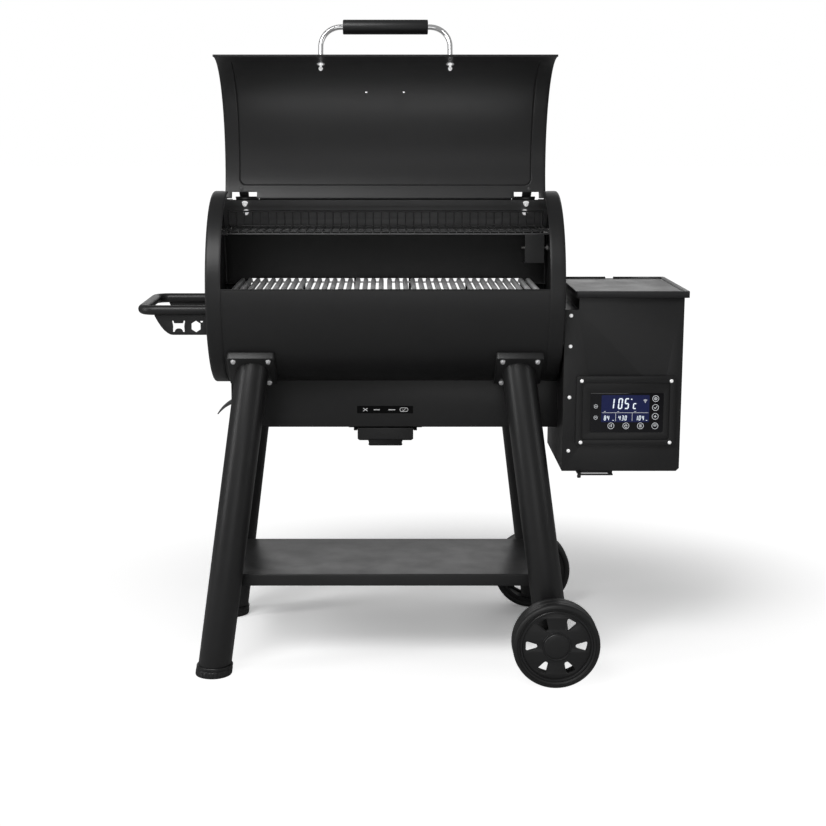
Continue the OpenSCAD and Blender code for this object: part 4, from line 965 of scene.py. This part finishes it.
def control():
    plate("bezel_frame", [round_rect(433, 528, 659.5, 688, 6), round_rect(447, 541, 645.5, 673, 5)], 168.1, 176,
          FRONT, PLASTIC, "chassis", "control_bezel", bevel=1.1)
    plate("bezel_panel", [round_rect(446, 540, 646.5, 674, 5), round_rect(466, 558, 632, 649, 3)], 168.1, 173.2,
          FRONT, PLASTIC, "chassis", bevel=0.5)
    plate("window_glass", [round_rect(465.6, 557.6, 632.4, 649.4, 3)], 169, 172.6, FRONT, GLASS, "chassis",
          "control_screen", bevel=0.3)
    chips = [box_mesh((x, -158, 580), (x + 14, -152, 600)) for x in (500, 530, 560)]
    add("display_block", *merge([box_mesh((480, -169, 570), (618, -160, 636))] + chips), PLASTIC, "chassis", bevel=0.4)
    add("circuit_board", *box_mesh((472, -160, 564), (626, -158, 642)), BOARD, "chassis", bevel=0.2)
    y = -172.6
    flat("lcd_ground", [round_rect(491, 581.6, 600, 644, 2)], y, SCREEN, "chassis", 0.12)
    d = []
    for ch, x in (("1", 509), ("0", 527.8), ("5", 542.6)):
        d += digit(ch, x, 612, 10.2, 25, 2.7)
    d += digit("c", 562, 612, 8.5, 25, 2.4) + [bar_loop(558, 634.5, 560.8, 634.5, 2.6)]
    # Small readings under the divider lines.
    for x, text in ((497, "84"), (530, "430"), (569, "104")):
        for i, ch in enumerate(text):
            d += digit(ch, x + i * 7.0, 585.5, 4.6, 11.5, 1.4)
    d += [bar_loop(x, 585.8, x + 3, 585.8, 1.2) for x in (517, 593)]
    flat("lcd_digits", d, y - 0.12, DIGIT, "chassis", 0.15)
    lines = [bar_loop(493, 603.5, 598, 603.5, 0.7)] + [bar_loop(x, 584, x, 602.5, 0.7) for x in (524, 561.5)]
    lines += [bar_loop(x, 606.3, x + w, 606.3, 0.9) for x, w in ((527.5, 3.5), (497, 4), (566, 4))]
    lines += [arc_loop(590.5, 627, r - 1.1, r, 50, 130, 8) for r in (2.6, 4.8, 7.0)] + [circle(590.5, 627, 0.9, 10)]
    flat("lcd_lines", lines, y - 0.12, ICON, "chassis", 0.15)
    # Touch marks: rings with plain strokes inside.
    marks = []
    for cx, cz, bars, arcs in (
            (614, 636, [(0, -1, 0, 4.2, 1.1)], [(0, 0, 2.4, 3.5, 120, 419, 14)]),
            (614, 615.5, [(-3.6, 0.4, -0.8, -2.6, 1.2), (-0.8, -2.6, 3.8, 3, 1.2)], []),
            (614, 595, [(-3, 0, 3, 0, 1.2), (0, -3, 0, 3, 1.2)], []),
            (614, 573, [(-3, 0, 3, 0, 1.3)], [(0, 0, 3.6, 4.4, 20, 160, 8)]),
            (580.9, 573, [(-3, z, 3, z, 1.1) for z in (-2.4, 2.4, 0)], []),
            (547.9, 573, [(0, -0.6, 1.6, 2.2, 0.9)], [(0, -0.6, 2.6, 3.6, 20, 340, 14)]),
            (513.7, 573, [(-2, -3, -2, 3, 1.1), (1.4, -3, 1.4, 1, 1.1)], [])):
        marks += ring_loops(cx, cz, 7.4, 0.9) + strokes(cx, cz, bars, arcs)
    marks.append(circle(515.1, 575.4, 1.2, 10))
    for cz in (618, 592):
        marks += ring_loops(478.4, cz, 4.4, 0.8, 20) + [bar_loop(476, cz, 480.6, cz, 0.9)]
    flat("touch_marks", marks, y - 0.02, ICON, "chassis", 0.12)
    head = lathe_mesh([(4.2, 0), (4.1, 0.5), (3.6, 1.4), (2.6, 2.1), (1.4, 2.45), (1.1, 1.7), (0.01, 1.6),
                       (0.01, 0)], 32)
    places = [(418.5, -168.1, z) for z in (825, 755, 638, 514)]
    places += [(x, -176.1, z) for x in (445, 648) for z in (677, 535)]
    screws = [moved(head, frame_at(p, (1, 0, 0), (0, 0, 1), (0, -1, 0))) for p in places]
    add("panel_screw_heads", *merge(screws), SCREW, "chassis", "panel_screws", smooth=50)


def back_inlet():
    at = frame_at((0, 154.1, 0), (-1, 0, 0), (0, 0, 1), (0, 1, 0))
    plate("inlet_flange", [round_rect(-636, 500, -600, 530, 3), round_rect(-630, 506, -606, 524, 2)], 0, 2.9, at,
          PLASTIC, "chassis", "power_inlet", bevel=0.5)
    a, b, c, d, y0, y1, t = 604, 632, 504, 526, 134.5, 154.2, 1.8
    well = [box_mesh((a, y0, c), (b, 137.5, d)), box_mesh((a, y0, c), (a + t, y1, d)),
            box_mesh((b - t, y0, c), (b, y1, d)), box_mesh((a, y0, c), (b, y1, c + t)),
            box_mesh((a, y0, d - t), (b, y1, d))]
    add("inlet_well", *merge(well), PLASTIC, "chassis")
    pins = [box_mesh((x - 1, 137, z - 2.5), (x + 1, 152, z + 2.5)) for x, z in ((611, 517), (618, 512), (625, 517))]
    add("inlet_pins", *merge(pins), CHROME, "chassis", bevel=0.3)


# ---- Fire, feed and ash ----
def burner():
    z0, z1, x0, x1, h = 548, 658.0, -361, 403.7, 60
    # Folded trough that closes against the barrel; its top edges follow the end caps' bands.
    prof = [(h, z1), (h, z0 + 2.5), (h - 0.8, z0 + 0.8), (h - 2.5, z0), (-h + 2.5, z0), (-h + 0.8, z0 + 0.8),
            (-h, z0 + 2.5), (-h, z1)]

    def section(x):
        top = AXIS - math.sqrt((223.1 if abs(x) > 365 else 221.6) ** 2 - h * h) - 0.1
        return [(x, y, top if z == z1 else z) for y, z in prof]

    v = section(x0) + section(364.9) + section(x1)
    n = len(prof)
    f = [(i * n + j, i * n + j + 1, (i + 1) * n + j + 1, (i + 1) * n + j) for i in range(2) for j in range(n - 1)]
    # The left end's face, arched over the barrel's underside.
    base = len(v)
    v += section(x0) + [(x0, y, AXIS - math.sqrt(221.6 ** 2 - y * y) - 0.1) for y in range(-45, 46, 15)]
    f.append(list(reversed(range(base, len(v)))))
    add("burner_trough", *reversed_faces((v, f)), STEEL, "chassis", "burner_housing", solid=-1.5, bevel=0.5, smooth=35)
    # Label strip with plain marks in place of the printed ones.
    y = -60.05
    flat("label_strip", [round_rect(-66.6, 581, 64.8, 598.7, 1.5)], y, PRINTBACK, "chassis", 0.25)
    marks = strokes(0, 589.8, [(-52, -3.4, -42, 3.4, 1.8), (-52, 3.4, -42, -3.4, 1.8), (-27.5, -0.3, -13, -0.3, 2.0),
                               (7, -0.3, 23, -0.3, 2.0), (38.5, 4.35, 48.5, 4.35, 1.3), (38.5, -4.35, 48.5, -4.35, 1.3),
                               (40, 0, 42.8, -2.2, 1.3), (42.8, -2.2, 47.5, 2.6, 1.3)],
                    [(38.5, 0, 3.7, 5.0, 90, 270, 10), (48.5, 0, 3.7, 5.0, -90, 90, 10)])
    flat("label_marks", marks, y - 0.25, PRINT, "chassis", 0.12)
    # Ash tray: an open folded box with side flanges, a front panel and a pull lip.
    low, lip_z, t = 516, 541.6, 64.5
    rings = [[(px, py, z) for px, py in round_rect(-hx, -hy, hx, hy, 1.5, 3)]
             for hx, hy, z in ((t + 6.5, 61, lip_z), (t, 60.8, lip_z), (t, 60.8, low + 3), (t - 3, 57.8, low))]
    add("ash_tray_pan", *rings_mesh(rings), STEEL, "ash_tray", "ash_tray", solid=1.2, smooth=30)
    plate("ash_tray_front", [round_rect(-65.5, 519, 65.5, 546.4, 2, 4)], 61, 62.5, FRONT, STEEL, "ash_tray", bevel=0.5)
    add("ash_tray_crease", *box_mesh((-20.5, -63.0, 531.6), (20.5, -62.4, 532.8)), STEEL, "ash_tray", bevel=0.2)
    lip = [(-41, 0), (41, 0), (38.5, 13)] + arc(35, 18, 5, (0, 30, 60, 90)) + arc(-35, 18, 5, (90, 120, 150, 180))
    lip.append((-38.5, 13))
    c, s = math.cos(math.radians(24)), math.sin(math.radians(24))
    at = frame_at((0, -61.5, 518.2), (1, 0, 0), (0, -c, -s), (0, -s, c))
    plate("ash_tray_lip", [lip], -0.9, 0.9, at, STEEL, "ash_tray", bevel=0.5)
    parts = []
    for s in (-1, 1):
        a, b = sorted((s * 73, s * 74.5))
        parts.append(box_mesh((a, -55, 539), (b, 60, 547.9)))
        a, b = sorted((s * 67, s * 73.2))
        parts.append(box_mesh((a, -55, 539), (b, 60, 540.5)))
        a, b = sorted((s * 74.3, s * 86))
        parts.append(box_mesh((a, -55, 546.3), (b, 60, 547.9)))
    add("tray_rail_angles", *merge(parts), STEEL, "chassis", "tray_rails", bevel=0.25)
    # Grease spout: a curved chute that narrows at its foot, and the wall along each edge.
    def bow(r, a):
        return -322 + polar(r, a)[0], 526 + polar(r, a)[1]

    v = []
    for i, a in enumerate(range(116, 151, 2)):
        half = 12 - 7 * max(0, (i - 9) / 8)
        x, z = bow(90, a)
        v += [(x, -12 - half, z), (x, -12 + half, z)]
    f = [(i, i + 1, i + 3, i + 2) for i in range(0, len(v) - 2, 2)]
    add("spout_chute", v, f, SPOUT, "chassis", "grease_spout", solid=-1.4, bevel=0.3)
    side = [bow(89.4, a) for a in range(116, 151, 3)]
    side += [bow(87.5 - 6.5 * (150 - a) / 34, a) for a in range(148, 119, -4)]
    walls = [prism_mesh(side, -y - 1.4, -y, FRONT) for y in (-24, -1.4)]
    add("spout_walls", *merge(walls), SPOUT, "chassis", bevel=0.2)


def details():
    """Pieces that stay as drawn in CAD but get their finish and softened edges."""
    for node, mat in {"grate_rails": INSIDE, "rack_studs": RAW, "heat_diffuser": INSIDE, "probe_guard": RACK,
                      "temp_probe": RAW, "exhaust_hood": STEEL, "fire_pot": RAW, "igniter_rod": RAW,
                      "auger_tube": ZINC, "auger_screw": RAW, "auger_motor": PLASTIC, "fan_housing": PLASTIC,
                      "fan_impeller": PLASTIC, "leg_plugs": PLASTIC, "wheel_axle": ZINC,
                      "axle_spacers": PLASTIC}.items():
        ob = nodes[node]
        ob.data.materials.clear()
        ob.data.materials.append(mat)
        m = ob.modifiers.new("bevel", "BEVEL")
        m.width = 0.0004
        m.segments = 2
        m.limit_method = "ANGLE"
        m.angle_limit = math.radians(35)


shell()
end_cap(-1, "left_cap_pan", "left_end_cap")
end_cap(1, "right_cap_pan", "right_end_cap")
grates()
rack()
legs()
brackets()
shelf()
wheel(-1, "front_wheel", ("front_tyre", "front_rim"))
wheel(1, "rear_wheel", ("rear_tyre", "rear_rim"))
side_handle()
lid()
lid_parts()
hinges()
hopper()
burner()
details()


# ---- Camera ----
cam_data = bpy.data.cameras.new("camera")
cam = bpy.data.objects.new("camera", cam_data)
bpy.context.scene.collection.objects.link(cam)
bpy.context.scene.camera = cam
cam_data.sensor_width = 36
cam_data.lens = 67.79
cam_data.shift_x = 0.0334
cam_data.clip_end = 200
cam.location = (-X0 / 1000, -3.6504, 1.2551)
cam.rotation_euler = (math.radians(90 - 10.623), 0, 0)

# ---- Stage and light ----
world = bpy.data.worlds.new("studio")
bpy.context.scene.world = world
world.use_nodes = True
wt = world.node_tree
wt.nodes.clear()
# The background looks white; the light it gives is much weaker.
w_mix = new_node(wt, "MixShader")
w_seen = new_node(wt, "Background", Color=(1, 1, 1, 1), Strength=1.0)
w_lit = new_node(wt, "Background", Color=(1, 1, 1, 1), Strength=0.16)
wt.links.new(new_node(wt, "LightPath").outputs["Is Camera Ray"], w_mix.inputs[0])
wt.links.new(w_lit.outputs[0], w_mix.inputs[1])
wt.links.new(w_seen.outputs[0], w_mix.inputs[2])
wt.links.new(w_mix.outputs[0], new_node(wt, "OutputWorld").inputs[0])
bpy.context.scene.view_settings.view_transform = "Standard"

bpy.ops.mesh.primitive_plane_add(size=80, location=(0, 0, 0))
floor = bpy.context.object
floor.name = "floor"
# The floor fades to plain white away from the grill; light that bounces off it is kept lower than what is seen.
fm = bpy.data.materials.new("floor")
fm.use_nodes = True
ft = fm.node_tree
ft.nodes.remove(ft.nodes["Principled BSDF"])
f_pos = new_node(ft, "TexCoord")
f_off = new_node(ft, "VectorMath")
f_off.operation = "SUBTRACT"
f_off.inputs[1].default_value = (0.12, 0.5, 0)
f_sc = new_node(ft, "VectorMath")
f_sc.operation = "MULTIPLY"
f_sc.inputs[1].default_value = (0.72, 1, 1)
f_len = new_node(ft, "VectorMath")
f_len.operation = "LENGTH"
f_map = new_node(ft, "MapRange", From_Min=0.3, From_Max=0.95)
f_map.interpolation_type = "SMOOTHSTEP"
f_white = new_node(ft, "Emission", Strength=1.05)
f_lit = new_node(ft, "BsdfDiffuse", Color=(1.5, 1.5, 1.5, 1))
f_glow = new_node(ft, "Emission", Strength=0.14)
f_sum = new_node(ft, "AddShader")
f_near = new_node(ft, "MixShader")
f_dull = new_node(ft, "BsdfDiffuse", Color=(0.45, 0.45, 0.45, 1))
f_path = new_node(ft, "LightPath")
f_all = new_node(ft, "MixShader")
for one, two in ((f_pos.outputs["Object"], f_off.inputs[0]), (f_off.outputs[0], f_sc.inputs[0]),
                 (f_sc.outputs[0], f_len.inputs[0]), (f_len.outputs["Value"], f_map.inputs["Value"]),
                 (f_map.outputs["Result"], f_near.inputs[0]), (f_lit.outputs[0], f_sum.inputs[0]),
                 (f_glow.outputs[0], f_sum.inputs[1]), (f_sum.outputs[0], f_near.inputs[1]),
                 (f_white.outputs[0], f_near.inputs[2]), (f_path.outputs["Is Camera Ray"], f_all.inputs[0]),
                 (f_dull.outputs[0], f_all.inputs[1]), (f_near.outputs[0], f_all.inputs[2]),
                 (f_all.outputs[0], ft.nodes["Material Output"].inputs["Surface"])):
    ft.links.new(one, two)
floor.data.materials.append(fm)


def area(name, loc, target, size, power, size_y=None):
    d = bpy.data.lights.new(name, "AREA")
    d.shape = "RECTANGLE"
    d.size = size
    d.size_y = size_y or size
    d.energy = power
    o = bpy.data.objects.new(name, d)
    bpy.context.scene.collection.objects.link(o)
    o.visible_camera = False
    o.location = loc
    o.rotation_euler = (Vector(target) - Vector(loc)).to_track_quat("-Z", "Y").to_euler()


area("key", (-1.4, -2.9, 3.9), (0, 0, 0.5), 1.9, 84)
area("left", (-3.6, -1.2, 1.8), (0, 0, 0.7), 0.7, 29, 2.6)
area("right", (3.6, -1.2, 1.8), (0, 0, 0.8), 0.8, 11, 2.6)
area("front", (0.1, -5.4, 1.0), (0, 0, 1.1), 2.4, 14, 1.2)
area("back", (0.2, 4.2, 2.1), (0, 0, 0.6), 5.0, 26, 1.6)
area("low", (-0.06, -0.13, 0.955), (-0.06, 0.10, 1.24), 0.7, 0.42, 0.06)
